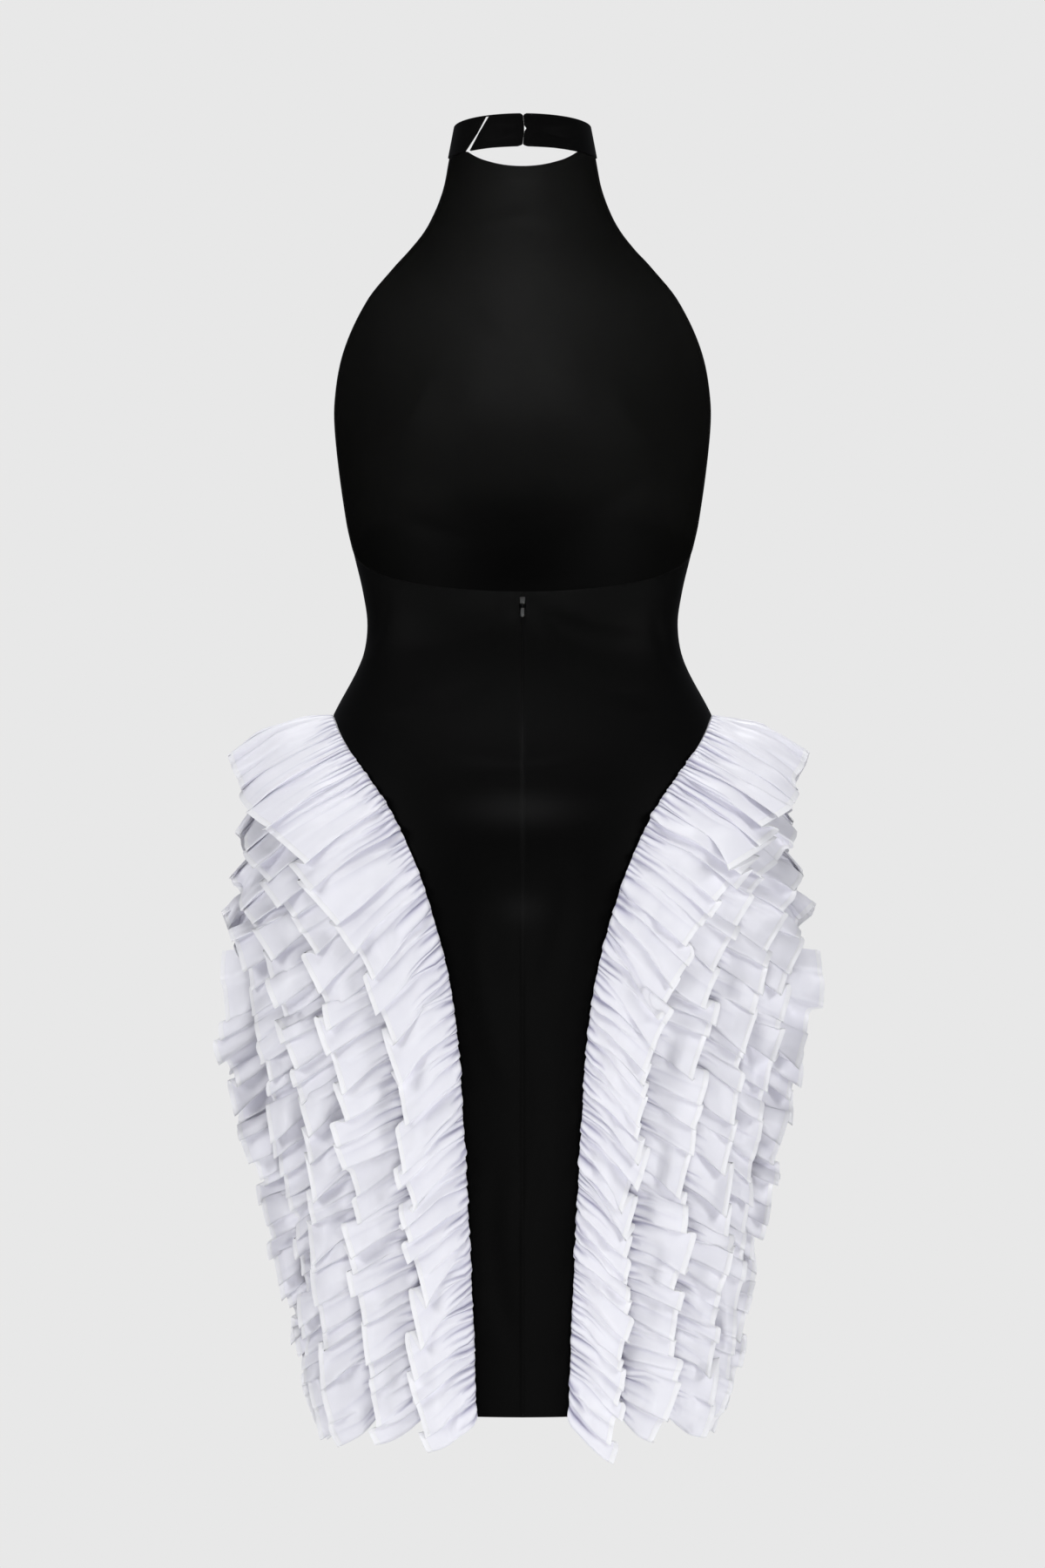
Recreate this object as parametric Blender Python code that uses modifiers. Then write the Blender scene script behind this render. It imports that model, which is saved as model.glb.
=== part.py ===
"""Halter midi dress in its worn form: black front and back panels, white ruffles over both hips.

Metres, +Z up, +Y towards the wearer's front, +X the wearer's right. The origin is the centre of the
neck, at mid height of the band at the back.
"""
import math

import bmesh
import bpy
from mathutils import Vector

# Cloth and seams
WALL = 0.0014
RUFFLE_WALL = 0.0012
SEAM_GAP = 0.0003
HALF_GAP = SEAM_GAP / 2

# Heights of the main lines
HIP_POINT = -0.470
HEM = -1.029
BACK_TOP_CENTRE = -0.372
BACK_TOP_SIDE = -0.338

# The worn form: height, half width, y of the side line, y of the front, and how much of a half turn
# the front makes from side to side
FORM = (
    (-0.013, 0.0586, 0.000, 0.0545, 1.00),
    (-0.043, 0.0650, 0.022, 0.068, 0.90),
    (-0.072, 0.0767, 0.040, 0.083, 0.76),
    (-0.100, 0.0994, 0.048, 0.096, 0.64),
    (-0.128, 0.1228, 0.043, 0.106, 0.60),
    (-0.171, 0.1448, 0.022, 0.115, 0.64),
    (-0.214, 0.1534, 0.002, 0.120, 0.75),
    (-0.250, 0.1518, -0.009, 0.118, 0.86),
    (-0.313, 0.1431, -0.018, 0.108, 0.97),
    (-0.341, 0.1367, -0.020, 0.103, 1.00),
    (-0.370, 0.1299, -0.018, 0.098, 1.00),
    (-0.398, 0.1264, -0.015, 0.096, 1.00),
    (-0.427, 0.1317, -0.012, 0.098, 1.00),
    (-0.470, 0.1540, -0.007, 0.105, 1.00),
    (-0.500, 0.1660, -0.008, 0.109, 1.00),
    (-0.530, 0.1740, -0.008, 0.112, 1.00),
    (-0.565, 0.1790, -0.008, 0.114, 1.00),
    (-0.600, 0.1805, -0.008, 0.114, 1.00),
    (-0.640, 0.1780, -0.007, 0.113, 1.00),
    (-0.700, 0.1710, -0.006, 0.111, 1.00),
    (-0.770, 0.1615, -0.005, 0.108, 1.00),
    (-0.850, 0.1520, -0.004, 0.105, 1.00),
    (-0.940, 0.1432, -0.004, 0.1025, 1.00),
    (-1.030, 0.1370, -0.004, 0.100, 1.00),
)

# The back of the skirt: height, y at the centre back
BACK = (
    (-0.338, -0.079),
    (-0.370, -0.076),
    (-0.398, -0.076),
    (-0.427, -0.082),
    (-0.470, -0.097),
    (-0.500, -0.109),
    (-0.530, -0.1195),
    (-0.565, -0.128),
    (-0.600, -0.131),
    (-0.640, -0.130),
    (-0.700, -0.124),
    (-0.770, -0.117),
    (-0.850, -0.111),
    (-0.940, -0.106),
    (-1.030, -0.103),
)

# Heights of the cloth grids' rows, from the neckline down
BODICE_HEIGHTS = (-0.013, -0.028, -0.043, -0.057, -0.071, -0.085, -0.100, -0.114, -0.128, -0.142, -0.157)
BUST_HEIGHTS = (-0.185, -0.217, -0.249, -0.281, -0.313)
WAIST_HEIGHTS = (BACK_TOP_SIDE, -0.364, -0.390, -0.414, -0.436, -0.455)
HIP_HEIGHTS = (HIP_POINT, -0.4715, -0.477, -0.487, -0.498, -0.512, -0.526, -0.546, -0.570, -0.600, -0.640)
SKIRT_HEIGHTS = (-0.695, -0.751, -0.807, -0.862, -0.918, -0.974, HEM)
SKIRT_ROWS = HIP_HEIGHTS + SKIRT_HEIGHTS
FRONT_ROWS = BODICE_HEIGHTS + BUST_HEIGHTS + WAIST_HEIGHTS + SKIRT_ROWS
BACK_ROWS = WAIST_HEIGHTS + SKIRT_ROWS

# Columns of the cloth grids
FRONT_COLUMNS = 16
BACK_COLUMNS = 7
SIDE_COLUMNS = 10
BAND_COLUMNS = 10

# Fullness over the bust, one soft mound each side
BUST_RISE = 0.010
BUST_HEIGHT = -0.226
BUST_OUT = 0.072
BUST_SPREAD = 0.040

# Arch of a ruffle seam: drop below its top, and distance from the side line along the cloth, both
# for the outermost row
ARCH = (
    (0.000, 0.000),
    (-0.0015, 0.0110),
    (-0.007, 0.026),
    (-0.028, 0.060),
    (-0.056, 0.100),
    (-0.084, 0.130),
    (-0.125, 0.157),
    (-0.180, 0.172),
    (-0.235, 0.174),
    (-0.320, 0.167),
    (-0.430, 0.158),
    (-0.560, 0.1505),
)
ARCH_WIDTH = 0.174
ARCH_LOW = -0.235
ROW_DROP = 0.046
ROW_PITCH = 0.042
TIP_SHARE = 0.3
TIP_DROP = 0.0004

# Ruffles: row, strip depth at its top, on the legs and at the hem, its angle off the cloth at its top
# and on the legs in degrees, and the height of its waves. The last row runs straight down the side
RUFFLES = (
    (1, 0.080, 0.079, 0.058, 68, 29, 0.0050),
    (2, 0.082, 0.076, 0.062, 46, 40, 0.0050),
    (3, 0.075, 0.074, 0.052, 52, 51, 0.0050),
    (4, 0.070, 0.068, 0.040, 60, 62, 0.0040),
    (5, 0.078, 0.078, 0.044, 86, 90, 0.0070),
)
SIDE_ROW = 5
RUFFLE_LIFT = WALL + 0.0011
FLARE_STEP = 0.004
RUFFLE_FALL = 0.45
STEEP = 0.9
TOP_CURL = 50
LEG_CURL = 20
LEG_FULL_DEPTH = -0.650
FULL_DEPTH = 0.075
WAVE_PITCH = 0.0478
WAVE_FORM = (-1.0, 0.1, 1.0)
DEPTH_STEPS = 2

# Neck band: half width and half depth of its ring, heights, and the turn from the centre back to its
# front end
NECK_HALF_WIDTH = 0.0586
NECK_HALF_DEPTH = 0.0550
BAND_LOW = -0.0135
BAND_HIGH = 0.0135
BAND_LOW_FRONT = -0.0090
BAND_FALL = 0.0050
BAND_TURN = math.radians(128)
BAND_WALL = 0.0020
NECK_SEAM_DROP = 0.0012
NECKLINE_DIP = -0.0157
NECKLINE_CORNER = 0.575

# How the two band ends meet: share of the band's height, half the opening between the ends
CLOSURE = (
    (0.00, 0.0025),
    (0.10, 0.0016),
    (0.20, 0.0003),
    (0.36, 0.00015),
    (0.48, 0.0006),
    (0.57, 0.0015),
    (0.67, 0.0006),
    (0.78, 0.00015),
    (0.92, 0.0004),
    (1.00, 0.0012),
)

# Slit through the left half of the band
SLIT_TOP_X = -0.0290
SLIT_BOTTOM_X = -0.0425
SLIT_TOP_WIDTH = 0.0028
SLIT_BOTTOM_WIDTH = 0.0055
SLIT_BRIDGE = 0.0016

# Hook and eye
WIRE = 0.0009
HOOK_HEIGHT = -0.0040
HOOK_SEAT = 0.0010
HOOK_LENGTH = 0.0058
HOOK_RISE = 0.0007
EYE_BOW = 0.0016
EYE_SPREAD = 0.0016
EYE_LENGTH = 0.0058
EYE_RISE = 0.0002

# Zip slider and pull
SLIDER_TOP = -0.3765
SLIDER_WIDTH = 0.0044
SLIDER_LENGTH = 0.0070
SLIDER_THICK = 0.0012
LOOP_HALF_WIDTH = 0.0005
LOOP_HOLE = 0.0019
LOOP_WALL = 0.0007
PULL_WIDTH = 0.0045
PULL_LENGTH = 0.0095
PULL_THICK = 0.0009
PULL_WINDOW = (0.0024, 0.0026)
PULL_HEIGHT = -0.3822


def read_at(table, height):
    """The columns of a table at a height, on a smooth curve through its rows."""
    heights = [row[0] for row in table]
    if height >= heights[0]:
        return table[0][1:]
    if height <= heights[-1]:
        return table[-1][1:]
    upper = max(i for i, value in enumerate(heights[:-1]) if value >= height)
    above, below = table[upper], table[upper + 1]
    before = table[max(upper - 1, 0)]
    after = table[min(upper + 2, len(table) - 1)]
    step = below[0] - above[0]
    t = (height - above[0]) / step
    values = []
    for i in range(1, len(above)):
        start = (below[i] - before[i]) / (below[0] - before[0]) * step
        end = (after[i] - above[i]) / (after[0] - above[0]) * step
        values.append(
            (2 * t**3 - 3 * t**2 + 1) * above[i]
            + (t**3 - 2 * t**2 + t) * start
            + (3 * t**2 - 2 * t**3) * below[i]
            + (t**3 - t**2) * end
        )
    return values


def front_point(height, share):
    """A point inside the front; share runs from -1 at the left side line to 1 at the right one."""
    half_width, side_y, front_y, wrap = read_at(FORM, height)
    turn = wrap * math.pi / 2
    x = (half_width - WALL) * math.sin(share * turn) / math.sin(turn)
    round_share = (math.cos(share * turn) - math.cos(turn)) / (1 - math.cos(turn))
    out = ((abs(x) - BUST_OUT) ** 2 + (height - BUST_HEIGHT) ** 2) / (2 * BUST_SPREAD**2)
    y = side_y + (front_y - WALL - side_y) * round_share + BUST_RISE * math.exp(-out) * round_share
    return Vector((x, y, height))


def back_point(height, share):
    """A point inside the back skirt; share runs from -1 at the left side line to 1 at the right."""
    half_width, side_y, _, _ = read_at(FORM, height)
    depth = side_y - read_at(BACK, height)[0] - WALL
    turn = share * math.pi / 2
    return Vector(((half_width - WALL) * math.sin(turn), side_y - depth * math.cos(turn), height))


def share_at(height, arc, point, steps=40):
    """The share of a half section that lies at a distance along the cloth from the side line."""
    last = point(height, 1)
    length = 0
    for i in range(1, steps + 1):
        here = point(height, 1 - i / steps)
        piece = (here - last).length
        if length + piece >= arc:
            return 1 - (i - 1 + (arc - length) / piece) / steps
        length += piece
        last = here
    return 0


def arch_arc(height, row=1):
    """Distance from the side line to a ruffle seam at a height; below the hem it stays as it is."""
    top = HIP_POINT - ROW_DROP * (row - 1)
    inset = ROW_PITCH * (row - 1)
    scale = ARCH_WIDTH / (ARCH_WIDTH - inset)
    drop = max(height, HEM) - top
    if drop >= 0:
        return 0
    rise = read_at(ARCH, max(drop * scale, ARCH_LOW))[0] / ARCH_WIDTH
    full = read_at(ARCH, min(height - HIP_POINT, ARCH_LOW))[0]
    return rise * (full - inset)


def skin_point(side, height, arc, lift):
    """A point off the skirt's inside; arc from the side line is positive towards the back."""
    point = back_point if arc >= 0 else front_point
    share = share_at(height, abs(arc), point)
    foot = point(height, share)
    half_width, side_y, front_y, _ = read_at(FORM, height)
    depth = side_y - read_at(BACK, height)[0] if arc >= 0 else front_y - side_y
    turn = share * math.pi / 2
    facing = -1 if arc >= 0 else 1
    out = Vector((depth * math.sin(turn), facing * half_width * math.cos(turn), 0)).normalized()
    place = foot + out * lift
    return Vector((side * place.x, place.y, place.z))


def new_material(name, colour, roughness, metallic=0.0):
    material = bpy.data.materials.new(name)
    material.use_nodes = True
    shader = material.node_tree.nodes["Principled BSDF"]
    shader.inputs["Base Color"].default_value = (*colour, 1)
    shader.inputs["Roughness"].default_value = roughness
    shader.inputs["Metallic"].default_value = metallic
    return material


def add_object(name, mesh, material, collection):
    thing = bpy.data.objects.new(name, mesh)
    if material:
        mesh.materials.append(material)
    collection.objects.link(thing)
    return thing


def add_sheet(name, across, down, place, wall, material, collection, offset=1):
    """Cloth from a grid: place gives the point for a share across and a share down, both 0 to 1."""
    bm = bmesh.new()
    bmesh.ops.create_grid(bm, x_segments=across, y_segments=down, size=0.5)
    for vert in bm.verts:
        vert.co = place(vert.co.x + 0.5, 0.5 - vert.co.y)
    bm.normal_update()
    outward = 0
    for face in bm.faces:
        middle = face.calc_center_median()
        outward += face.normal.x * middle.x + face.normal.y * middle.y
    if outward < 0:
        bmesh.ops.reverse_faces(bm, faces=bm.faces)
    mesh = bpy.data.meshes.new(name)
    bm.to_mesh(mesh)
    bm.free()
    mesh.shade_smooth()
    thing = add_object(name, mesh, material, collection)
    solid = thing.modifiers.new("wall", "SOLIDIFY")
    solid.thickness = wall
    solid.offset = offset
    solid.use_even_offset = offset != 0
    return thing


def pick(rows, down):
    """The height of the grid row at a share down, from the heights of all its rows."""
    return rows[round(down * (len(rows) - 1))]


def front_panel(material, collection):
    """Black front in one piece, from the neckline to the hem."""

    def neckline(share):
        if abs(share) > NECKLINE_CORNER:
            along = (1 - abs(share)) / (1 - NECKLINE_CORNER)
            return BAND_LOW - NECK_SEAM_DROP + (BAND_LOW_FRONT - BAND_LOW) * along
        corner = BAND_LOW_FRONT - NECK_SEAM_DROP
        return NECKLINE_DIP + (corner - NECKLINE_DIP) * (share / NECKLINE_CORNER) ** 2

    def place(across, down):
        height = pick(FRONT_ROWS, down)
        share = 2 * across - 1
        if down == 0:
            return front_point(neckline(share), share)
        edge = share_at(height, arch_arc(height) + HALF_GAP, front_point)
        return front_point(height, share * edge)

    return add_sheet("front_panel", FRONT_COLUMNS, len(FRONT_ROWS) - 1, place, WALL, material, collection)


def back_panel(side, name, material, collection):
    """Half of the back skirt, from the centre seam to the side seam and the ruffle seam."""

    def place(across, down):
        height = pick(BACK_ROWS, down)
        if height > BACK_TOP_CENTRE:
            centre_height = BACK_TOP_CENTRE + (height - BACK_TOP_SIDE) / 3
            height = centre_height + (height - centre_height) * across**2
        edge = share_at(height, arch_arc(height) + HALF_GAP, back_point)
        centre = HALF_GAP / read_at(FORM, height)[0] / (math.pi / 2)
        return back_point(height, side * (centre + (edge - centre) * across))

    return add_sheet(name, BACK_COLUMNS, len(BACK_ROWS) - 1, place, WALL, material, collection)


def side_panel(side, name, material, collection):
    """White ground cloth that the ruffles are sewn to, from the hip point to the hem."""

    def place(across, down):
        height = pick(SKIRT_ROWS, down)
        reach = arch_arc(height + TIP_DROP) - HALF_GAP
        if down == 0:
            below = SKIRT_ROWS[1]
            reach = arch_arc(below + TIP_DROP) * TIP_SHARE - HALF_GAP
            height += (below - height) * TIP_SHARE - TIP_DROP
        return skin_point(side, height, reach * (2 * across - 1), 0)

    return add_sheet(name, SIDE_COLUMNS, len(SKIRT_ROWS) - 1, place, WALL, material, collection)


def arch_path(row, steps=160):
    """Points (arc, height) along a ruffle seam, from the back hem over the hip to the front hem."""
    top = HIP_POINT - ROW_DROP * (row - 1)
    leg = []
    for i in range(steps + 1):
        height = top + (HEM - top) * (i / steps) ** 2
        leg.append((0 if row == SIDE_ROW else arch_arc(height, row), height))
    if row == SIDE_ROW:
        return leg
    return list(reversed(leg)) + [(-arc, height) for arc, height in leg[1:]]


def even_points(path, count):
    """Points at even distances along a path, each with the path's direction there."""
    lengths = [0]
    for (a, b), (c, d) in zip(path, path[1:]):
        lengths.append(lengths[-1] + math.hypot(c - a, d - b))
    points = []
    segment = 0
    for i in range(count + 1):
        target = lengths[-1] * i / count
        while segment < len(path) - 2 and lengths[segment + 1] < target:
            segment += 1
        (a, b), (c, d) = path[segment], path[segment + 1]
        length = lengths[segment + 1] - lengths[segment]
        t = (target - lengths[segment]) / length
        points.append((a + (c - a) * t, b + (d - b) * t, (c - a) / length, (d - b) / length))
    return points


def ruffle(side, name, values, material, collection):
    """A gathered strip sewn along its seam; it leans to the side line, falls and stands off the cloth."""
    row, top_depth, leg_depth, hem_depth, top_angle, leg_angle, wave = values
    path = arch_path(row)
    total = sum(math.dist(start, end) for start, end in zip(path, path[1:]))
    samples = len(WAVE_FORM)
    waves = 2 * round(total / WAVE_PITCH / 2)
    points = even_points(path, waves * samples)

    def place(across, down):
        index = round(across * waves * samples)
        arc, height, along_arc, along_height = points[index]
        lower = max(0, (LEG_FULL_DEPTH - height) / (LEG_FULL_DEPTH - HEM))
        steep = min(1, abs(along_height) / STEEP)
        leg = leg_depth + (hem_depth - leg_depth) * lower
        depth = top_depth + (leg - top_depth) * steep
        angle = math.radians(top_angle + (leg_angle - top_angle) * steep)
        curl = math.radians(TOP_CURL + (LEG_CURL - TOP_CURL) * steep) * (row != SIDE_ROW)
        toward = -1 if arc >= 0 else 1
        flare = read_at(FORM, height - FLARE_STEP)[0] - read_at(FORM, height + FLARE_STEP)[0]
        here = Vector((arc, height, RUFFLE_LIFT * math.hypot(1, flare / FLARE_STEP / 2)))
        for i in range(round(down * DEPTH_STEPS)):
            bend = angle + curl * (0.5 - (i + 0.5) / DEPTH_STEPS)
            lean = math.cos(bend)
            way = Vector((
                toward * abs(along_height) * lean,
                -abs(along_arc) * lean - RUFFLE_FALL * steep,
                math.sin(bend),
            ))
            here += way.normalized() * depth / DEPTH_STEPS
        phase = index % samples if arc < 0 else -index % samples
        push = wave * depth / FULL_DEPTH * down * WAVE_FORM[phase]
        here += Vector((-toward * abs(along_height) * math.sin(angle), 0, math.cos(angle))) * push
        return skin_point(side, here.y, here.x, here.z)

    return add_sheet(name, waves * samples, DEPTH_STEPS, place, RUFFLE_WALL, material, collection, offset=0)


def neck_band(side, name, material, collection):
    """Half of the neck band, from its end at the centre back to the front panel's corner."""

    def place(across, down):
        share, opening = CLOSURE[round((1 - down) * (len(CLOSURE) - 1))]
        start = opening / NECK_HALF_WIDTH
        turn = start + (BAND_TURN - start) * across
        past_side = max(0, turn - math.pi / 2) / (BAND_TURN - math.pi / 2)
        low = BAND_LOW + (BAND_LOW_FRONT - BAND_LOW) * past_side
        high = BAND_HIGH - BAND_FALL * (1 - math.cos(turn))
        x = side * NECK_HALF_WIDTH * math.sin(turn)
        return Vector((x, -NECK_HALF_DEPTH * math.cos(turn), low + (high - low) * share))

    return add_sheet(name, BAND_COLUMNS, len(CLOSURE) - 1, place, BAND_WALL, material, collection)


def cut(thing, cutter):
    modifier = thing.modifiers.new("cut", "BOOLEAN")
    modifier.operation = "DIFFERENCE"
    modifier.solver = "EXACT"
    modifier.object = cutter


def add_block(name, low, high, collection, material=None):
    """A box between two corners, its place in its mesh."""
    bm = bmesh.new()
    bmesh.ops.create_cube(bm, size=1)
    for vert in bm.verts:
        vert.co = Vector([(a + b) / 2 + (b - a) * c for a, b, c in zip(low, high, vert.co)])
    mesh = bpy.data.meshes.new(name)
    bm.to_mesh(mesh)
    bm.free()
    return add_object(name, mesh, material, collection)


def slit_cutter(collection):
    """A slanted wedge that opens the left half of the band, short of its top edge."""
    low = (-1, -NECK_HALF_DEPTH * 1.2, BAND_LOW * 1.5)
    cutter = add_block("band_slit", low, (1, -NECK_HALF_DEPTH * 0.4, BAND_HIGH), collection)
    for vert in cutter.data.vertices:
        high = vert.co.z > 0
        share = (BAND_HIGH - vert.co.z) / (BAND_HIGH - BAND_LOW)
        middle = SLIT_TOP_X + (SLIT_BOTTOM_X - SLIT_TOP_X) * share
        width = SLIT_TOP_WIDTH + (SLIT_BOTTOM_WIDTH - SLIT_TOP_WIDTH) * share
        vert.co.x = middle + math.copysign(width / 2, vert.co.x)
        if high:
            turn = math.asin(SLIT_TOP_X / NECK_HALF_WIDTH)
            vert.co.z = BAND_HIGH - BAND_FALL * (1 - math.cos(turn)) - SLIT_BRIDGE
    return cutter


def wire(name, points, material, collection, radius=WIRE / 2):
    """A round wire through points, as a closed mesh."""
    curve = bpy.data.curves.new(name, "CURVE")
    curve.dimensions = "3D"
    curve.bevel_depth = radius
    curve.bevel_resolution = 1
    curve.use_fill_caps = True
    spline = curve.splines.new("POLY")
    spline.points.add(len(points) - 1)
    for point, place in zip(spline.points, points):
        point.co = (*place, 1)
    guide = add_object(name + "_path", curve, None, collection)
    evaluated = guide.evaluated_get(bpy.context.evaluated_depsgraph_get())
    mesh = bpy.data.meshes.new_from_object(evaluated)
    bpy.data.objects.remove(guide)
    bm = bmesh.new()
    bm.from_mesh(mesh)
    bmesh.ops.remove_doubles(bm, verts=bm.verts, dist=0.00001)
    bmesh.ops.recalc_face_normals(bm, faces=bm.faces)
    bm.to_mesh(mesh)
    bm.free()
    mesh.materials.clear()
    return add_object(name, mesh, material, collection)


def hook_and_eye(material, collection):
    """The hook is sewn inside the right end and goes round the bow of the eye, sewn inside the left."""
    seat = -NECK_HALF_DEPTH + HOOK_SEAT
    bend = WIRE + SEAM_GAP
    bow = seat + bend
    eye = [(EYE_BOW - EYE_LENGTH, seat + EYE_RISE, HOOK_HEIGHT + EYE_SPREAD)]
    for i in range(7):
        turn = math.pi / 2 - math.pi * i / 6
        eye.append((
            EYE_BOW - EYE_SPREAD + EYE_SPREAD * math.cos(turn),
            bow,
            HOOK_HEIGHT + EYE_SPREAD * math.sin(turn),
        ))
    eye.append((EYE_BOW - EYE_LENGTH, seat + EYE_RISE, HOOK_HEIGHT - EYE_SPREAD))
    wire("neck_eye", eye, material, collection)
    hook = [(EYE_BOW + HOOK_LENGTH, seat + HOOK_RISE, HOOK_HEIGHT)]
    for i in range(5):
        turn = -math.pi / 2 - math.pi * i / 4
        hook.append((EYE_BOW + bend * math.cos(turn), bow + bend * math.sin(turn), HOOK_HEIGHT))
    hook.append((EYE_BOW + bend, bow + bend, HOOK_HEIGHT))
    wire("neck_hook", hook, material, collection)


def zip_parts(material, collection, cutters):
    """Slider with a narrow loop on its face, and the pull tab whose top bar runs through the loop."""
    cloth = min(back_point(SLIDER_TOP - SLIDER_LENGTH * i / 4, 0).y for i in range(5)) - WALL
    back = cloth - SEAM_GAP
    face = back - SLIDER_THICK
    pull_y = face - LOOP_HOLE / 2
    slider = add_block(
        "zip_slider",
        (-SLIDER_WIDTH / 2, face, SLIDER_TOP - SLIDER_LENGTH),
        (SLIDER_WIDTH / 2, back, SLIDER_TOP),
        collection,
        material,
    )
    half = LOOP_HOLE / 2 + LOOP_WALL
    loop = add_block(
        "slider_loop",
        (-LOOP_HALF_WIDTH, face - LOOP_HOLE - LOOP_WALL, PULL_HEIGHT - half),
        (LOOP_HALF_WIDTH, face + SLIDER_THICK / 2, PULL_HEIGHT + half),
        cutters,
    )
    hole = add_block(
        "slider_hole",
        (-SLIDER_WIDTH, face - LOOP_HOLE, PULL_HEIGHT - LOOP_HOLE / 2),
        (SLIDER_WIDTH, face, PULL_HEIGHT + LOOP_HOLE / 2),
        cutters,
    )
    joined = slider.modifiers.new("loop", "BOOLEAN")
    joined.operation = "UNION"
    joined.solver = "EXACT"
    joined.object = loop
    cut(slider, hole)
    hang = bpy.data.objects.new("zip_pull_hinge", None)
    hang.location = (0, pull_y, PULL_HEIGHT)
    collection.objects.link(hang)
    pull = add_block(
        "zip_pull",
        (-PULL_WIDTH / 2, -PULL_THICK / 2, PULL_THICK / 2 - PULL_LENGTH),
        (PULL_WIDTH / 2, PULL_THICK / 2, PULL_THICK / 2),
        collection,
        material,
    )
    pull.parent = hang
    width, height = PULL_WINDOW
    window = add_block(
        "pull_window",
        (-width / 2, -PULL_THICK, -PULL_THICK / 2 - height),
        (width / 2, PULL_THICK, -PULL_THICK / 2),
        cutters,
    )
    window.parent = hang
    cut(pull, window)


for old in list(bpy.data.objects):
    bpy.data.objects.remove(old)

dress = bpy.data.collections.new("halter_midi_dress")
cutters = bpy.data.collections.new("cutters")
bpy.context.scene.collection.children.link(dress)
bpy.context.scene.collection.children.link(cutters)

black_cloth = new_material("black_cloth", (0.012, 0.012, 0.013), 0.8)
black_band = new_material("black_band", (0.013, 0.013, 0.014), 0.75)
white_ground = new_material("white_ground", (0.78, 0.77, 0.82), 0.7)
white_ruffle = new_material("white_ruffle", (0.84, 0.83, 0.88), 0.55)
black_metal = new_material("black_metal", (0.02, 0.02, 0.02), 0.35, 0.6)
steel_wire = new_material("steel_wire", (0.35, 0.35, 0.36), 0.35, 1.0)

front_panel(black_cloth, dress)
for side, word in ((-1, "left"), (1, "right")):
    back_panel(side, f"back_panel_{word}", black_cloth, dress)
    side_panel(side, f"side_panel_{word}", white_ground, dress)
    band = neck_band(side, f"neck_band_{word}", black_band, dress)
    if side < 0:
        cut(band, slit_cutter(cutters))
    for values in RUFFLES:
        ruffle(side, f"ruffle_{word}_{values[0]}", values, white_ruffle, dress)
hook_and_eye(steel_wire, dress)
zip_parts(black_metal, dress, cutters)
for cutter in cutters.objects:
    cutter.hide_render = True
    cutter.display_type = "WIRE"
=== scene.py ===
import math

import bmesh
import bpy
import numpy as np
from mathutils import Matrix, Vector


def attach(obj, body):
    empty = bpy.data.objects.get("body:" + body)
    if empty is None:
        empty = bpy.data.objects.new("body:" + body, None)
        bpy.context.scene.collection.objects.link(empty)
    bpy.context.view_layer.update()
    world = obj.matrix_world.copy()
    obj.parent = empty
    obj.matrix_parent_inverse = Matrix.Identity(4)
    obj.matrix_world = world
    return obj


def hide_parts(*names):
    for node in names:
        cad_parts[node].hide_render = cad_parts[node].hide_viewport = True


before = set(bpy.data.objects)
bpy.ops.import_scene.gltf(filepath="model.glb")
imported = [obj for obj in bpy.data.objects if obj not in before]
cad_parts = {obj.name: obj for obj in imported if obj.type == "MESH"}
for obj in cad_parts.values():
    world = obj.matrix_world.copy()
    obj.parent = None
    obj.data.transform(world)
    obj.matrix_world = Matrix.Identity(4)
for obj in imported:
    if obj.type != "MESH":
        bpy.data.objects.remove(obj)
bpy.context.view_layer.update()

# Black front
# One piece of matt black crepe, halter bodice and skirt in one. It is cut to a curve at the neck,
# narrowed over the hips by the ruffle seams, and turned under at its free edges and hem.
WALL = 0.0014
HIP_POINT = -0.470
HEM = -1.029
BACK_TOP_CENTRE = -0.372
BACK_TOP_SIDE = -0.338
FORM = (  # height, half width, y of the side line, y of the front, share of a half turn in front
    (-0.013, 0.0590, 0.000, 0.0545, 1.00),
    (-0.043, 0.0663, 0.022, 0.068, 0.90),
    (-0.072, 0.0812, 0.040, 0.083, 0.76),
    (-0.100, 0.1063, 0.048, 0.096, 0.64),
    (-0.128, 0.1285, 0.043, 0.106, 0.60),
    (-0.171, 0.1468, 0.022, 0.115, 0.64),
    (-0.214, 0.1534, 0.002, 0.120, 0.75),
    (-0.250, 0.1518, -0.009, 0.118, 0.86),
    (-0.313, 0.1431, -0.018, 0.108, 0.97),
    (-0.341, 0.1367, -0.020, 0.103, 1.00),
    (-0.370, 0.1299, -0.018, 0.098, 1.00),
    (-0.398, 0.1264, -0.015, 0.096, 1.00),
    (-0.427, 0.1317, -0.012, 0.098, 1.00),
    (-0.470, 0.1540, -0.007, 0.105, 1.00),
    (-0.500, 0.1660, -0.008, 0.109, 1.00),
    (-0.530, 0.1740, -0.008, 0.112, 1.00),
    (-0.565, 0.1790, -0.008, 0.114, 1.00),
    (-0.600, 0.1805, -0.008, 0.114, 1.00),
    (-0.640, 0.1780, -0.007, 0.113, 1.00),
    (-0.700, 0.1710, -0.006, 0.111, 1.00),
    (-0.770, 0.1615, -0.005, 0.108, 1.00),
    (-0.850, 0.1520, -0.004, 0.105, 1.00),
    (-0.940, 0.1432, -0.004, 0.1025, 1.00),
    (-1.030, 0.1370, -0.004, 0.100, 1.00),
)
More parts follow.
